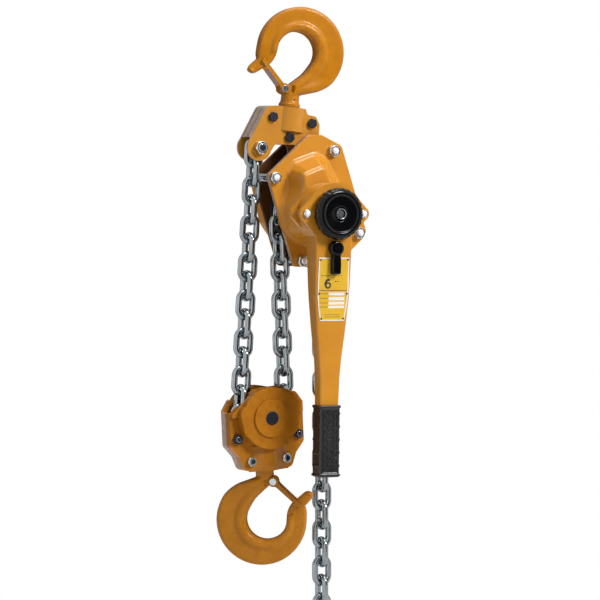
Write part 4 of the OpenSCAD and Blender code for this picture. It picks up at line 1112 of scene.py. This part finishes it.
@dataclass
class BrakeCover:
    """The pressed cover over the brake: a flange, an S-shaped wall and a flat face."""

    shop: Workshop
    depth: float = 40.0
    sheet: float = 3.0
    bore: float = 23.0
    # For the foot and the face of the wall: the corners above, then the arc about the axis by its
    # radius, first angle and sweep, and the corner between the arc and the first corner
    foot: tuple[Point, ...] = (
        (-38, 63, 7), (-27, 79, 10), (11, 92, 14), (31, 82, 12), (43, 60, 14), (52, 44, 10))
    foot_arc: Point = (49.0, 30, -236)
    foot_last: Point = (-36, 44, 12)
    face: tuple[Point, ...] = ((-30, 62, 5), (7, 75.5, 9), (15, 57, 10), (28, 40, 8))
    face_arc: Point = (40.0, 36, -232)
    face_last: Point = (-30, 40, 8)
    # How far the inner wall lies within the foot and the face
    inside: Flat = (2.6, 3.2)

    @staticmethod
    def outline(corners_at: Sequence[Point], arc: Point, last: Point) -> list[Flat]:
        """A closed outline of corners above and an arc about the axis below.

        Args:
            corners_at: the corners, from the left over the top to the right.
            arc: the arc's radius, first angle and sweep in degrees.
            last: the corner between the arc's end and the first corner.

        Returns:
            The outline's points.
        """
        radius, start, sweep = arc
        below = [(x, z, 0.0) for x, z in circle(radius, 40, start=start, sweep=sweep)]
        return rounded([*corners_at, *below, last])

    def build(self) -> None:
        """Make the cover."""
        form = RayForm((0.0, 18.0), 480)
        plate = form.spans(rounded(PLATE_CORNERS, 8))
        foot = form.spans(self.outline(self.foot, self.foot_arc, self.foot_last))
        face = form.spans(self.outline(self.face, self.face_arc, self.face_last))
        hole = form.spans(circle(self.bore, 90))
        back, front = -COVER_OUT + self.sheet, -COVER_OUT
        top = front - self.depth
        inner_foot = [r - self.inside[0] for r in foot]
        inner_face = [r - self.inside[1] for r in face]
        form.ring(inner_foot, back)
        form.ring([r - 0.3 for r in plate], back)
        form.ring(plate, back - 0.3).ring(plate, front + 0.7).ring([r - 0.7 for r in plate], front)
        form.wall(foot, face, front, top, 7.0, 6.0, 7)
        form.ring([r + 0.5 for r in hole], top).ring(hole, top + 0.5).ring(hole, top + self.sheet)
        form.ring(inner_face, top + self.sheet)
        cover = self.shop.make("brake_cover_pressing", form.shape(), Place.BODY, "frame",
                               Finishes.ENAMEL, ["brake_cover"])
        # The flange's cut outline gets the pale edge: wear and painted highlight.
        self.shop.paint(cover, Finishes.EDGE_WEAR_AND_PAINTED_HIGHLIGHT,
                        lambda m, n: cut_face(m, n) and m.y > front + 0.2, Place.BODY)


@dataclass
class BlockCheeks:
    """Swellings on the block's front half: over the chain, and over the hook's neck."""

    shop: Workshop
    back: float = -15.0
    out: float = -18.0
    face: float = -21.5
    left: tuple[Point, ...] = (
        (-63.4, 4, 2), (-63.4, 9.2, 3), (-44.6, 26, 4), (-34, 35, 3), (-24, 35, 3), (-24, 4, 2))
    right: tuple[Point, ...] = (
        (63.4, 4, 2), (63.4, 21.4, 5), (53.2, 35.8, 7), (30, 45.0, 4), (16, 45.0, 3), (16, 4, 2))
    # Inset and height over the face of each ring of a cheek's brow
    brow: tuple[Flat, ...] = ((0.0, 2.0), (0.5, 0.9), (1.3, 0.3), (2.6, 0.0))
    swell_w: float = 35.0
    swell_rise: float = 9.4
    swell_top: float = -44.0
    swell_low: float = -83.8
    # How far the swelling's lower lip draws back, how full it is (1 is a plain wave), and how
    # many rows and steps it has
    swell_lip: float = 1.2
    swell_full: float = 0.85
    swell_rows: int = 8
    swell_steps: int = 36

    def cheek(self, corners_at: Sequence[Point]) -> Shape:
        """One cheek: a plate with a rounded brow.

        Args:
            corners_at: its corners.

        Returns:
            The cheek.
        """
        rim = rounded(corners_at, 6)
        cx = sum(x for x, _ in rim) / len(rim)
        cz = sum(z for _, z in rim) / len(rim)

        def ring(inset: float, y: float) -> list[Point]:
            """The rim pulled in by some millimetres."""
            points = []
            for x, z in rim:
                away = max(1.0, math.hypot(x - cx, z - cz))
                share = 1 - inset / away
                points.append((cx + (x - cx) * share, y, cz + (z - cz) * share))
            return points

        return Shape.loft([ring(0.0, self.out + 0.2),
                           *[ring(inset, self.face + up) for inset, up in self.brow]])

    def swell(self) -> Shape:
        """The swelling over the neck, which runs out smoothly to both sides."""
        rows, steps = [], self.swell_steps
        for k in range(self.swell_rows + 1):
            z = self.swell_low + (self.swell_top - self.swell_low) * k / self.swell_rows
            lip = 0.0 if k else self.swell_lip
            row = []
            for i in range(steps + 1):
                x = self.swell_w * (2 * i / steps - 1)
                rise = (0.5 + 0.5 * math.cos(math.pi * x / self.swell_w)) ** self.swell_full
                row.append((x, self.back - 0.05 - max(0.0, self.swell_rise * rise - lip), z))
            rows.append([*row, (self.swell_w, self.back + 1.5, z),
                         (-self.swell_w, self.back + 1.5, z)])
        return Shape.loft(rows)

    def build(self) -> None:
        """Make the cheeks and the swelling."""
        self.shop.make_all(Place.BLOCK, "block", [
            ("block_cheek_left", self.cheek(self.left), Finishes.CASTING_ENAMEL_WITH_PAINTED_SHADE, []),
            ("block_cheek_right", self.cheek(self.right), Finishes.CASTING_ENAMEL_WITH_PAINTED_SHADE, []),
            ("block_neck_swell", self.swell(), Finishes.CASTING_ENAMEL_WITH_PAINTED_SHADE, [])], angle=50.0)


@dataclass
class Handwheel:
    """The fluted wheel that winds the slack chain, with its ring nut and the shaft's end."""

    shop: Workshop
    back: float = -119.0
    flutes: int = 24
    flute_depth: float = 1.5
    # The radius at which the flutes start, and how far out they grow to their full depth
    flute_from: float = 35.5
    flute_run: float = 5.0
    nut_r: float = 8.8
    bore: float = 5.6
    # Radius and depth below the back of each corner, from the back round the rim to the hub
    rim: tuple[Flat, ...] = (
        (31.0, 0.0), (35.5, 0.4), (38.6, 1.8), (40.1, 4.2), (40.5, 7.5), (40.5, 11.0),
        (40.1, 13.8), (38.8, 16.4), (36.6, 18.4), (33.9, 19.6), (31.4, 19.8), (29.6, 19.2),
        (28.6, 18.2), (27.4, 17.6), (24.5, 17.4), (19.0, 17.0), (14.6, 16.6), (12.2, 16.2),
        (11.2, 15.2), (10.8, 13.6))

    def edge(self, radius: float, y: float, angle: float) -> float:
        """The wheel's radius with its flutes."""
        if radius < self.flute_from:
            return radius
        share = min(1.0, (radius - self.flute_from) / self.flute_run)
        hollow = ((math.cos(self.flutes * angle) + 1) / 2) ** 3
        return radius - self.flute_depth * share * hollow

    def build(self) -> None:
        """Make the wheel, the nut and the shaft's end."""
        b, bore = self.back, self.bore
        rim = smooth_run([(r, b - down) for r, down in self.rim], 3)
        hub = [(bore, b - 13.2), (bore, SHAFT_END), (13.0, SHAFT_END), (13.0, b), (31.0, b)]
        wheel = Shape.lathe([*rim, *hub], 192, self.edge)
        self.shop.make("handwheel_moulding", wheel, Place.BODY, "drive", Finishes.GLOSS_BLACK,
                       ["handwheel"], angle=50.0)
        out, ring_in = self.nut_r, self.nut_r - 1.5
        nut = Shape.lathe([
            (out - 0.8, b - 13.0), (out, b - 13.8), (out, b - 18.9), (out - 0.5, b - 19.5),
            (ring_in + 0.4, b - 19.5), (ring_in, b - 19.1), (ring_in - 0.3, b - 14.5),
            (bore, b - 14.2), (bore, b - 13.0), (out - 0.8, b - 13.0)], 72)
        dressed = self.shop.make("handwheel_ring_nut", nut, Place.BODY, "drive", Finishes.ZINC,
                                 ["handwheel_nut"], angle=40.0)
        # The ring nut's recess and bore are painted dark: painted shade.
        self.shop.paint(dressed, Finishes.DARK_STEEL_AND_SHADE,
                        lambda m, n: math.hypot(m.x, m.z) < ring_in + 0.1, Place.BODY)


@dataclass
class Selector:
    """The changeover knob: a round head, a waist and a finger that points down."""

    shop: Workshop
    at: Flat = (0.0, -54.0)
    head_r: float = 11.9
    waist: float = 6.4
    finger: float = 7.6
    end: float = -41.0
    back: float = -116.3

    def build(self) -> None:
        """Make the knob."""
        outline = [(x, z, 0.0) for x, z in circle(self.head_r, 30, start=-52, sweep=284)]
        down = [(self.waist, -12.4, 2.5), (self.finger, -17.0, 2.5), (self.finger, self.end, 3.6)]
        rim = rounded([*outline, *[(-x, z, r) for x, z, r in down], *down[::-1]], 6)
        b, head_r = self.back, self.head_r

        def ring(inset: float, y: float) -> list[Point]:
            """The outline pulled in by a share, at a height."""
            half_w, half_h, centre_z = 11.0, 28.0, -13.0
            return [(x * (1 - inset / half_w), y, centre_z + (z - centre_z) * (1 - inset / half_h))
                    for x, z in rim]

        body = Shape.loft([ring(0.6, b - 0.8), ring(0.0, b - 1.4), ring(0.2, b - 7.6),
                           ring(0.7, b - 9.0), ring(1.9, b - 9.9), ring(3.4, b - 10.2)])
        head = Shape.lathe([
            (CLOSED, b - 10.0), (head_r - 1.6, b - 10.0), (head_r - 1.2, b - 11.0),
            (head_r - 2.0, b - 11.8), (head_r - 4.6, b - 12.2), (3.2, b - 12.0), (2.6, b - 11.4),
            (CLOSED, b - 11.3)], 48)
        shaft = Shape.lathe(
            [(CLOSED, b - 1.0), (4.5, b - 1.0), (4.5, SHAFT_END), (CLOSED, SHAFT_END)], 40)
        knob = body.add(head).add(shaft).at(*self.at)
        self.shop.make("selector_moulding", knob, Place.LEVER, "selector", Finishes.GLOSS_BLACK,
                       ["selector_knob"], angle=40.0)


@dataclass
class Nameplate:
    """The riveted yellow plate: white border, one digit, ruled rows and blank fields."""

    shop: Workshop
    # Depth below the lever's axis, with half the width or Y of the lever's face there
    outline: tuple[Flat, ...] = (
        (68.4, 26.6), (75.0, 26.9), (110.0, 27.4), (128.0, 27.2), (147.0, 25.0), (167.6, 21.6))
    faces: tuple[Flat, ...] = ((75.0, -115.0), (110.0, -113.0), (135.0, -111.6), (182.0, -109.5))
    thick: float = 0.8
    border: float = 2.0
    lift: float = 0.12
    # Upper and lower depth of each blank field
    rows: tuple[Flat, ...] = ((123.0, 127.6), (130.0, 135.4), (137.4, 142.0), (143.8, 147.6))

    def face(self, depth: float) -> float:
        """Y of the plate's own front face at a depth below the lever's axis."""
        run = self.faces
        for (a, fa), (b, fb) in zip(run, run[1:]):
            if depth <= b:
                return fa + (fb - fa) * (max(depth, a) - a) / (b - a) - self.thick
        return run[-1][1] - self.thick

    def half(self, depth: float) -> float:
        """Half the plate's width at a depth below the lever's axis."""
        run = self.outline
        for (a, wa), (b, wb) in zip(run, run[1:]):
            if depth <= b:
                return wa + (wb - wa) * (depth - a) / (b - a)
        return run[-1][1]

    def patch(self, left: Callable[[float], float], right: Callable[[float], float], top: float,
              low: float, proud: float) -> Shape:
        """A thin patch of print that lies on the plate.

        Args:
            left: its left edge at each depth.
            right: its right edge at each depth.
            top: depth of its upper edge.
            low: depth of its lower edge.
            proud: how far it stands off the plate.

        Returns:
            The patch.
        """
        stops = sorted({top, low, *[d for d, _ in (*self.outline, *self.faces) if top < d < low]})
        rings = []
        for d in stops:
            back, front = self.face(d) + 0.2, self.face(d) - proud
            rings.append([(left(d), back, -d), (left(d), front, -d), (right(d), front, -d),
                          (right(d), back, -d)])
        return Shape.loft(rings)

    def band(self, inset: float, top: float, low: float, proud: float) -> Shape:
        """A patch over the plate's whole width, less an inset on both sides."""
        return self.patch(lambda d: inset - self.half(d), lambda d: self.half(d) - inset, top, low,
                          proud)

    def dashes(self, count: int, x0: float, pitch: float, width: float, top: float,
               low: float) -> Shape:
        """A row of patches with upright sides.

        Args:
            count: how many there are.
            x0: the first one's left side.
            pitch: how far apart they start.
            width: how wide each is.
            top: depth of their upper edge.
            low: depth of their lower edge.

        Returns:
            The row.
        """
        row = Shape()
        for x in range(count):
            left, right = x0 + x * pitch, x0 + width + x * pitch
            row.add(self.patch(lambda d: left, lambda d: right, top, low, self.lift))
        return row

    def digit(self, centre: Flat, height: float, stroke: float) -> Shape:
        """The figure six, as a broad stroke along a curl.

        Args:
            centre: its middle across and above the lever's axis.
            height: its height.
            stroke: how broad the stroke of its back is.

        Returns:
            The figure.
        """
        rise, wide = height / 2, height * 0.36
        # Half widths of the back and of the loop, how far the back is shifted, the loop's middle
        # and half height, and how broad the loop's stroke is
        back_w, loop_w, shift = wide * 1.15, wide * 0.92, 0.5
        loop_z, loop_h, loop_stroke = -rise * 0.36, rise * 0.62, stroke * 0.82
        path: list[Flat] = []
        # The back of the curl in two arcs: first angle, sweep, share of the height and first step
        for start, sweep, tall, first in ((62, 118, 1.0, 0), (180, 50, 0.9, 1)):
            for k in range(first, 9):
                a = math.radians(start + sweep * k / 8)
                path.append((back_w * math.cos(a) + shift, rise * tall * math.sin(a)))
        loop = []
        for degrees in range(200, 561, 18):
            a = math.radians(degrees)
            loop.append((loop_w * math.cos(a), loop_z + loop_h * math.sin(a)))
        shape = Shape()
        for run, thick in ((path, stroke), (loop, loop_stroke)):
            rings = []
            for i, (x, z) in enumerate(run):
                ax, az = run[max(i - 1, 0)]
                bx, bz = run[min(i + 1, len(run) - 1)]
                off = Vector((-(bz - az), bx - ax)).normalized() * thick / 2
                depth = -(centre[1] + z)
                y = self.face(depth) - self.lift * 1.4
                x, z = centre[0] + x, centre[1] + z
                rings.append([(x + off.x, y, z + off.y), (x - off.x, y, z - off.y),
                              (x - off.x, y + 0.3, z - off.y), (x + off.x, y + 0.3, z + off.y)])
            shape.add(Shape.loft(rings))
        return shape

    def build(self) -> None:
        """Make the plate and its print."""
        top, low = self.outline[0][0], self.outline[-1][0]
        plate, inset = self.band(0.0, top, low, 0.0), self.border
        yellow = self.band(inset, top + inset, low - inset, self.lift * 0.5)
        blanks, ink = Shape(), Shape()
        for top_row, low_row in self.rows:
            blanks.add(self.dashes(1, -7.5, 0.0, 28.0, top_row, low_row))
            ink.add(self.dashes(4, -23.0, 3.6, 2.6, top_row + 1.5, top_row + 2.4))
        ink.add(self.band(inset, 119.4, 120.3, self.lift))
        ink.add(self.dashes(9, -22.6, 4.2, 2.8, 96.2, 97.2))
        ink.add(self.dashes(6, -12.0, 4.2, 3.0, 157.4, 158.2))
        ink.add(self.dashes(6, -13.0, 4.6, 3.2, 160.8, 161.6))
        ink.add(self.dashes(2, 2.0, 4.0, 3.0, 105.2, 106.4))
        ink.add(self.digit((-9.5, -109.6), 12.6, 3.3))
        self.shop.make_all(Place.LEVER, "lever", [
            ("nameplate_sheet", plate, Finishes.WHITE, ["nameplate"]),
            ("nameplate_field", yellow, Finishes.YELLOW, []),
            ("nameplate_blanks", blanks, Finishes.WHITE, []),
            ("nameplate_print", ink, Finishes.INK, [])])


# Half a hexagon's width across flats against that across corners
HEXAGON = 0.866


@dataclass
class Grip:
    """The rubber grip: lips, side ribs and a sunk front panel with hexagon pads."""

    shop: Workshop
    top: float = -300.0
    length: float = 112.0
    half_w: float = 17.4
    half_d: float = 13.7
    middle: float = -96.5
    lip: float = 1.8
    # The lips' half height, the first rib's place, and the ribs' half height and height
    lip_run: float = 2.3
    first_rib: float = 13.0
    rib_run: float = 2.6
    rib_out: float = 1.1
    ribs: int = 5
    step: float = 0.7
    # The front panel: half its width at the face and at its floor, its depth, how far from the
    # ends it starts, and over what length it deepens
    panel_out: float = 12.6
    panel_in: float = 12.0
    panel_deep: float = 0.8
    panel_from: float = 6.0
    panel_run: float = 0.8
    corner: float = 3.2
    # The pads' pitch, the gap between two, half the panel's width that they may fill, how far
    # below the top they start and how far above the lower end they stop
    pad: float = 11.6
    pad_gap: float = 1.1
    pad_side: float = 11.6
    pad_from: float = 12.0
    pad_stop: float = 11.5

    def rib(self, down: float) -> float:
        """How far the sides stand out at a distance below the top."""
        pitch = (self.length - 30) / (self.ribs - 1)
        near = min(abs(down - self.first_rib - k * pitch) for k in range(self.ribs))
        return self.rib_out * max(0.0, math.cos(min(near / self.rib_run, 1.0) * math.pi / 2))

    def flare(self, down: float) -> float:
        """How far the lips stand out."""
        near = min(down, self.length - down)
        if near > 2 * self.lip_run:
            return 0.0
        return self.lip * math.sqrt(max(0.0, 1 - ((near - self.lip_run) / self.lip_run) ** 2))

    def section(self, down: float) -> list[Point]:
        """The grip's outline at a distance below its top."""
        w = self.half_w + max(self.rib(down), self.flare(down))
        d = self.half_d + self.flare(down) * 0.5
        near = min(down, self.length - down)
        share = max(0.0, min(1.0, (near - self.panel_from) / self.panel_run))
        front, back, r = self.middle - d, self.middle + d, self.corner
        outline = rounded([(-w, front, r), (-w, back, r), (w, back, r), (w, front, r)], 5)
        deep, wide, narrow = front + self.panel_deep * share, self.panel_out, self.panel_in
        panel = [(wide, front), (narrow, deep), (-narrow, deep), (-wide, front)]
        return [(x, y, self.top - down) for x, y in [*outline, *panel]]

    def sleeve(self) -> Shape:
        """The sleeve with its ribs, open round the lever."""
        stops = [k * self.step for k in range(int(self.length / self.step) + 1)]
        rings = [self.section(d) for d in stops]
        first, last = rings[0], rings[-1]

        def shrink(ring: list[Point], by: float, down: float) -> list[Point]:
            """A ring pulled in round the grip's middle."""
            keep = 1 - by
            return [(x * keep, self.middle + (y - self.middle) * keep, z - down)
                    for x, y, z in ring]

        return Shape.loft([shrink(first, 0.14, 0.0), shrink(first, 0.05, 0.0), *rings,
                           shrink(last, 0.03, 0.5), shrink(last, 0.10, 0.9),
                           shrink(last, 0.6, 0.9)])

    def pads(self) -> Shape:
        """Hexagon pads on the front panel, each with a shallow dimple."""
        shape = Shape()
        front = self.middle - self.half_d + self.panel_deep
        across = self.pad / 2 - self.pad_gap / 2
        rows = int((self.length - 18) / self.pad) + 1
        for column in (-1, 0, 1):
            for row in range(rows):
                x = column * self.pad * HEXAGON
                z = self.top - self.pad_from - row * self.pad - (self.pad / 2 if column else 0.0)
                if z < self.top - self.length + self.pad_stop:
                    continue
                corners_at = [polar(across / HEXAGON, 60 * k) for k in range(6)]
                side = self.pad_side
                hexagon = [(max(-side, min(side, x + dx)), z + dz) for dx, dz in corners_at]
                # Each ring's size against the hexagon, and its depth
                shape.add(Shape.loft([
                    [(x + (px - x) * size, front + deep, z + (pz - z) * size) for px, pz in hexagon]
                    for size, deep in ((1.0, 0.3), (1.0, -0.35), (0.9, -0.55), (0.5, -0.5),
                                       (0.38, -0.15))]))
        return shape

    def build(self) -> None:
        """Make the sleeve and its pads."""
        self.shop.make("grip_sleeve", self.sleeve(), Place.LEVER, "lever", Finishes.RUBBER,
                       ["lever_grip"], angle=50.0)
        self.shop.make("grip_pads", self.pads(), Place.LEVER, "lever", Finishes.RUBBER, angle=30.0)


# Stands a shape that was turned about Y upright
UPRIGHT = Matrix.Rotation(math.pi / 2, 4, "X")


@dataclass
class Hooks:
    """Both forged hooks with their slim latches, and a dark ring under the top hook's collar as
    painted shade.
    """

    shop: Workshop
    pin_at: Flat = (13.7, 60.5)
    bowl: float = 32.0
    # The middle and the radius of the back's outer edge
    back_at: Flat = (-8.5, -1.0)
    back_r: float = 71.5
    # Where the forging is thinned for the latch, about its pin: half the thickness that is left,
    # the radius of the round path, and the reach and the angles of the arm's path
    latch_half: float = 10.2
    latch_round: float = 14.0
    latch_reach: float = 60.2
    latch_from: float = -84.0
    latch_to: float = -36.0
    # The latch's cheek: radii of its eye and tip, how far they lie apart, where its straight edges
    # start and half its width there
    eye_r: float = 7.3
    tip_r: float = 2.9
    arm: float = 56.0
    root: float = 10.5
    root_half: float = 3.4
    # Y of the cheek's inner and outer face, its worn edge, and Y of the web's ends
    cheek_in: float = 10.6
    cheek_out: float = 12.6
    cheek_edge: float = 0.35
    web_half: float = 10.8
    # Stations: inner and outer point, how round the section is, and its share of the thickness
    neck: tuple[tuple[float, ...], ...] = (
        (13.8, 81, -13.8, 81, 1, 1), (14.2, 68, -14.6, 69, 1, 1), (9, 56, -25, 64.5, 0.7, 1),
        (-4, 44.5, -45, 57.5, 0.25, 1), (-17, 32.5, -61.5, 46.5, 0, 1))
    tip: tuple[tuple[float, ...], ...] = (
        (34, 12, 63.5, 11, 0, 0.85), (40.5, 23.5, 62.3, 18.5, 0, 0.72),
        (51, 32, 67, 23.5, 0.4, 0.68), (59.5, 39, 73, 30, 0.9, 0.68),
        (64, 41.8, 75.5, 35, 1, 0.9), (68, 42.6, 75.5, 39, 1, 0.6))
    # Share of the way from the bowl to the back, with half the thickness: land, bead, step, web
    section: tuple[Flat, ...] = (
        (0, 8), (0.02, 9.8), (0.05, 11.6), (0.09, 13.2), (0.14, 14.4), (0.19, 15), (0.25, 15),
        (0.30, 14.5), (0.345, 13.5), (0.38, 12.5), (0.41, 12), (0.44, 11.8), (0.54, 11.7),
        (0.64, 11.6), (0.75, 11.5), (0.84, 11.4), (0.90, 11.2), (0.94, 10.4), (0.97, 8.8),
        (0.99, 7.0), (1, 5.0))

    def stations(self) -> list[list[float]]:
        """Every station along the forging, from the neck round the back to the tip."""
        back = []
        for angle in range(150, 361, 15):
            ix, iz = polar(self.bowl, angle)
            ox, oz = polar(self.back_r, angle)
            back.append((ix, iz, ox + self.back_at[0], oz + self.back_at[1], 0, 1))
        return smooth_run([*self.neck, *back, *self.tip], 6)

    def ring(self, station: Sequence[float]) -> list[Point]:
        """The section at one station."""
        ix, iz, ox, oz, roundness, share = station
        width = math.hypot(ox - ix, oz - iz)
        front, rear = [], []
        for w, half in self.section:
            round_half = max(1.4, math.sqrt(max(0.0, w * (1 - w))) * width)
            y = half * (1 - roundness) + round_half * roundness
            y *= 1 if roundness >= 1 else share
            x, z = ix + (ox - ix) * w, iz + (oz - iz) * w
            dx, dz = x - self.pin_at[0], z - self.pin_at[1]
            away, turn = math.hypot(dx, dz), math.degrees(math.atan2(dz, dx))
            on_arm = away < self.latch_reach and self.latch_from < turn < self.latch_to
            if away < self.latch_round or on_arm:
                y = min(y, self.latch_half)
            front.append((x, -y, z))
            rear.append((x, y, z))
        return front + rear[::-1]

    def forging(self) -> Shape:
        """The whole forging in its own frame: bowl at the origin, shank up, tip towards +X."""
        shape = Shape.loft([self.ring(s) for s in self.stations()])
        neck = Shape.lathe([
            (CLOSED, 64), (13.4, 64), (14.2, 70), (14.4, 77), (14.9, 80), (16.0, 82.2), (17, 83.6),
            (17, 87.2), (16.4, 88), (12.4, 88), (12.4, 98.4), (17, 98.4), (17, 106.4),
            (CLOSED, 106.4)], 64)
        eye = Shape.lathe([(3.6, -9), (8.4, -9), (9, -8.4), (9, 3.8), (8.4, 4.4), (3.6, 4.4),
                           (3.6, -9)], 48)
        return shape.add(neck.moved(UPRIGHT)).add(eye.at(*self.pin_at))

    def latch(self) -> Shape:
        """A slim pressed latch: two cheeks with round eyes, and a web along their outer edges."""
        ahead, out = Vector((0.7071, -0.7071)), Vector((0.7071, 0.7071))
        pin = Vector(self.pin_at)

        def at(along: float, across: float) -> Flat:
            """A point along the arm and outwards from its middle line."""
            spot = pin + ahead * along + out * across
            return spot.x, spot.y

        eye = [at(*polar(self.eye_r, 40 + 10 * i)) for i in range(29)]
        end = [polar(self.tip_r, 15 * i - 90) for i in range(13)]
        tip = [at(self.arm + along, across) for along, across in end]
        cheek = [*eye, at(self.root, -self.root_half), *tip, at(self.root, self.root_half)]
        sections = ((0.0, self.cheek_in), (0.0, self.cheek_out),
                    (self.cheek_edge, self.cheek_out + self.cheek_edge))
        shape = Shape()
        for side in (-1, 1):
            shape.add(Shape.loft([[(x, y * side, z) for x, z in self.drawn_in(cheek, inset)]
                                  for inset, y in sections]))
        web = [at(11, self.root_half), at(40, self.tip_r), at(40, 1.5), at(11, 1.8)]
        return shape.add(Shape.loft([[(x, y, z) for x, z in web]
                                     for y in (-self.web_half, self.web_half)]))

    @staticmethod
    def drawn_in(rim: Sequence[Flat], inset: float) -> list[Flat]:
        """A rim moved inwards by some millimetres.

        Args:
            rim: the closed rim's points.
            inset: how far each point moves.

        Returns:
            The new rim.
        """
        points = [Vector(p) for p in rim]
        area = sum(a.x * b.y - b.x * a.y for a, b in zip(points, points[1:] + points[:1]))
        turn = 1.0 if area > 0 else -1.0
        drawn = []
        for i, p in enumerate(points):
            along = (points[(i + 1) % len(points)] - points[i - 1]).normalized()
            drawn.append((p.x - along.y * turn * inset, p.y + along.x * turn * inset))
        return drawn

    def build(self) -> None:
        """Make the hooks and their latches, the dark ring of painted shade under the collar, and
        the mark.
        """
        for node, place in (("top_hook", Place.TOP_HOOK), ("bottom_hook", Place.BOTTOM_HOOK)):
            self.shop.make(f"{node}_forging", self.forging(), place, node, Finishes.FORGING_ENAMEL_WITH_PAINTED_SHADE,
                           [node], angle=34.0)
            latch = node.replace("hook", "latch")
            arm = self.shop.make(f"{latch}_pressing", self.latch(), place, latch,
                                 Finishes.FORGING_ENAMEL_WITH_PAINTED_SHADE, [latch])
            if place is Place.TOP_HOOK:
                # Only the top latch's outer edges get the pale edge finish: a painted highlight.
                self.shop.paint(arm, Finishes.EDGE_WEAR_AND_PAINTED_HIGHLIGHT,
                                lambda m, n: n.x * 0.7 + n.z * 0.7 > 0.6, place)
        # A thin dark ring where the collar meets the yoke: painted shade for the gap there.
        gap_shade = Shape.lathe([(13.0, 87.9), (17.3, 87.9), (17.6, 88.1), (17.6, 88.6), (17.3, 88.8),
                              (13.0, 88.8), (13.0, 87.9)], 56).moved(UPRIGHT.inverted())
        self.shop.make("collar_shade_ring", gap_shade, Place.YOKE, "yoke", Finishes.DARK_STEEL_AND_SHADE)
        mark = Shape.lathe([(CLOSED, -14.9), (1.2, -14.8), (1.2, -11.0), (CLOSED, -11.0)], 20)
        self.shop.make("hook_mark", mark.at(-8.7, -75.6), Place.WORLD, "top_hook",
                       Finishes.DARK_STEEL_AND_SHADE)


@dataclass
class WorkedSolids:
    """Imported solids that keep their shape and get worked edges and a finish."""

    shop: Workshop
    # In metres: how far the block rises, and the top and length of each fall that shortens with it
    lift: float = 0.031
    falls: dict[str, Flat] = field(default_factory=lambda: {
        "chain_dead_fall": (-0.151, 0.415), "chain_live_fall": (-0.265, 0.302)})

    def build(self) -> None:
        """Work over every solid that no other class makes anew."""
        f = Finishes
        table: dict[Finish, dict[str, float]] = {
            f.ENAMEL: {"gear_cover": 1.2, "lever_front_shell": 0.8, "lever_rear_shell": 0.8},
            f.CASTING_ENAMEL_WITH_PAINTED_SHADE: {"block_front_half": 1.4},
            f.ZINC: {
                "top_latch_pin": 0.5, "bottom_latch_pin": 0.5, "top_latch_spring": 0.0,
                "bottom_latch_spring": 0.0, "chain_anchor_pin": 0.6, "yoke_pin": 0.6,
                "sheave_bearings": 0.4, "gear_cover_screws": 0.6, "pawl_pins": 0.3,
                "load_gear": 0.2, "intermediate_gear_upper": 0.2, "intermediate_gear_lower": 0.2,
                "drive_shaft": 0.3, "brake_hub": 0.4, "ratchet_disc": 0.2, "changeover_gear": 0.3,
                "pawl_left": 0.3, "pawl_right": 0.3, "selector_pawl": 0.3, "block_bolts": 0.7,
            },
            f.CHAIN: {
                "chain_dead_fall": 0.0, "chain_idler_wrap": 0.0, "chain_live_fall": 0.0,
                "chain_sheave_wrap": 0.0, "chain_tail": 0.0, "end_stop_ring": 0.0,
            },
            # The rear side plate gets the brown painted shade.
            f.PAINTED_SHADE_BROWN: {"side_plate_rear": 0.8},
            f.DARK_STEEL_AND_SHADE: {"yoke_bolts": 0.9, "block_axle": 0.8, "pawl_springs": 0.0,
                            "detent_spring": 0.0, "nameplate_rivets": 0.3},
            f.CAST: {"chain_guide": 0.4, "chain_stripper": 0.4, "load_sheave": 0.4,
                     "idler_sheave": 0.4},
            f.LINING: {"friction_discs": 0.0},
        }
        for finish, nodes in table.items():
            for node, bevel in nodes.items():
                piece = self.shop.rework(node, finish, bevel)
                if node in self.falls:
                    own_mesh(piece)
        rear = self.shop.rework("block_rear_half", f.CASTING_ENAMEL_WITH_PAINTED_SHADE, 1.4)
        # The left of the rear half's flange gets the pale edge: wear and painted highlight.
        self.shop.paint(rear, f.EDGE_WEAR_AND_PAINTED_HIGHLIGHT,
                        lambda m, n: cut_face(m, n) and m.x < -38 and m.y < 16, Place.BLOCK)
        for node in ("yoke_front_plate", "yoke_rear_plate", "side_plate_front"):
            plate = self.shop.rework(node, f.PLATES_ENAMEL_WITH_PAINTED_SHADE, 0.8)
            # The plates' cut outlines get the pale edge: wear and painted highlight, with dark
            # seams on the yoke's rims.
            self.shop.paint(plate, f.RIM_EDGE if "yoke" in node else f.EDGE_WEAR_AND_PAINTED_HIGHLIGHT, cut_face)


def corners(box: tuple[Vector, Vector]) -> list[list[float]]:
    """A box as plain lists of numbers."""
    return [[round(float(c), 6) for c in corner] for corner in box]


def clear_scene() -> None:
    """Take out whatever the file opened with."""
    for leftover in list(bpy.data.objects):
        bpy.data.objects.remove(leftover)


def main() -> None:
    logging.basicConfig(level=logging.INFO, format="%(name)s: %(message)s")
    clear_scene()
    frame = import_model()
    shop = Workshop(Finishes(), frame["nodes"], frame["record"]["behaviour"]["bodies"])
    WorkedSolids(shop).build()
    Hooks(shop).build()
    Fasteners(shop).build()
    BrakeCover(shop).build()
    BlockCheeks(shop).build()
    Handwheel(shop).build()
    Selector(shop).build()
    Nameplate(shop).build()
    Grip(shop).build()
    Studio().build()


if __name__ == "__main__":
    main()
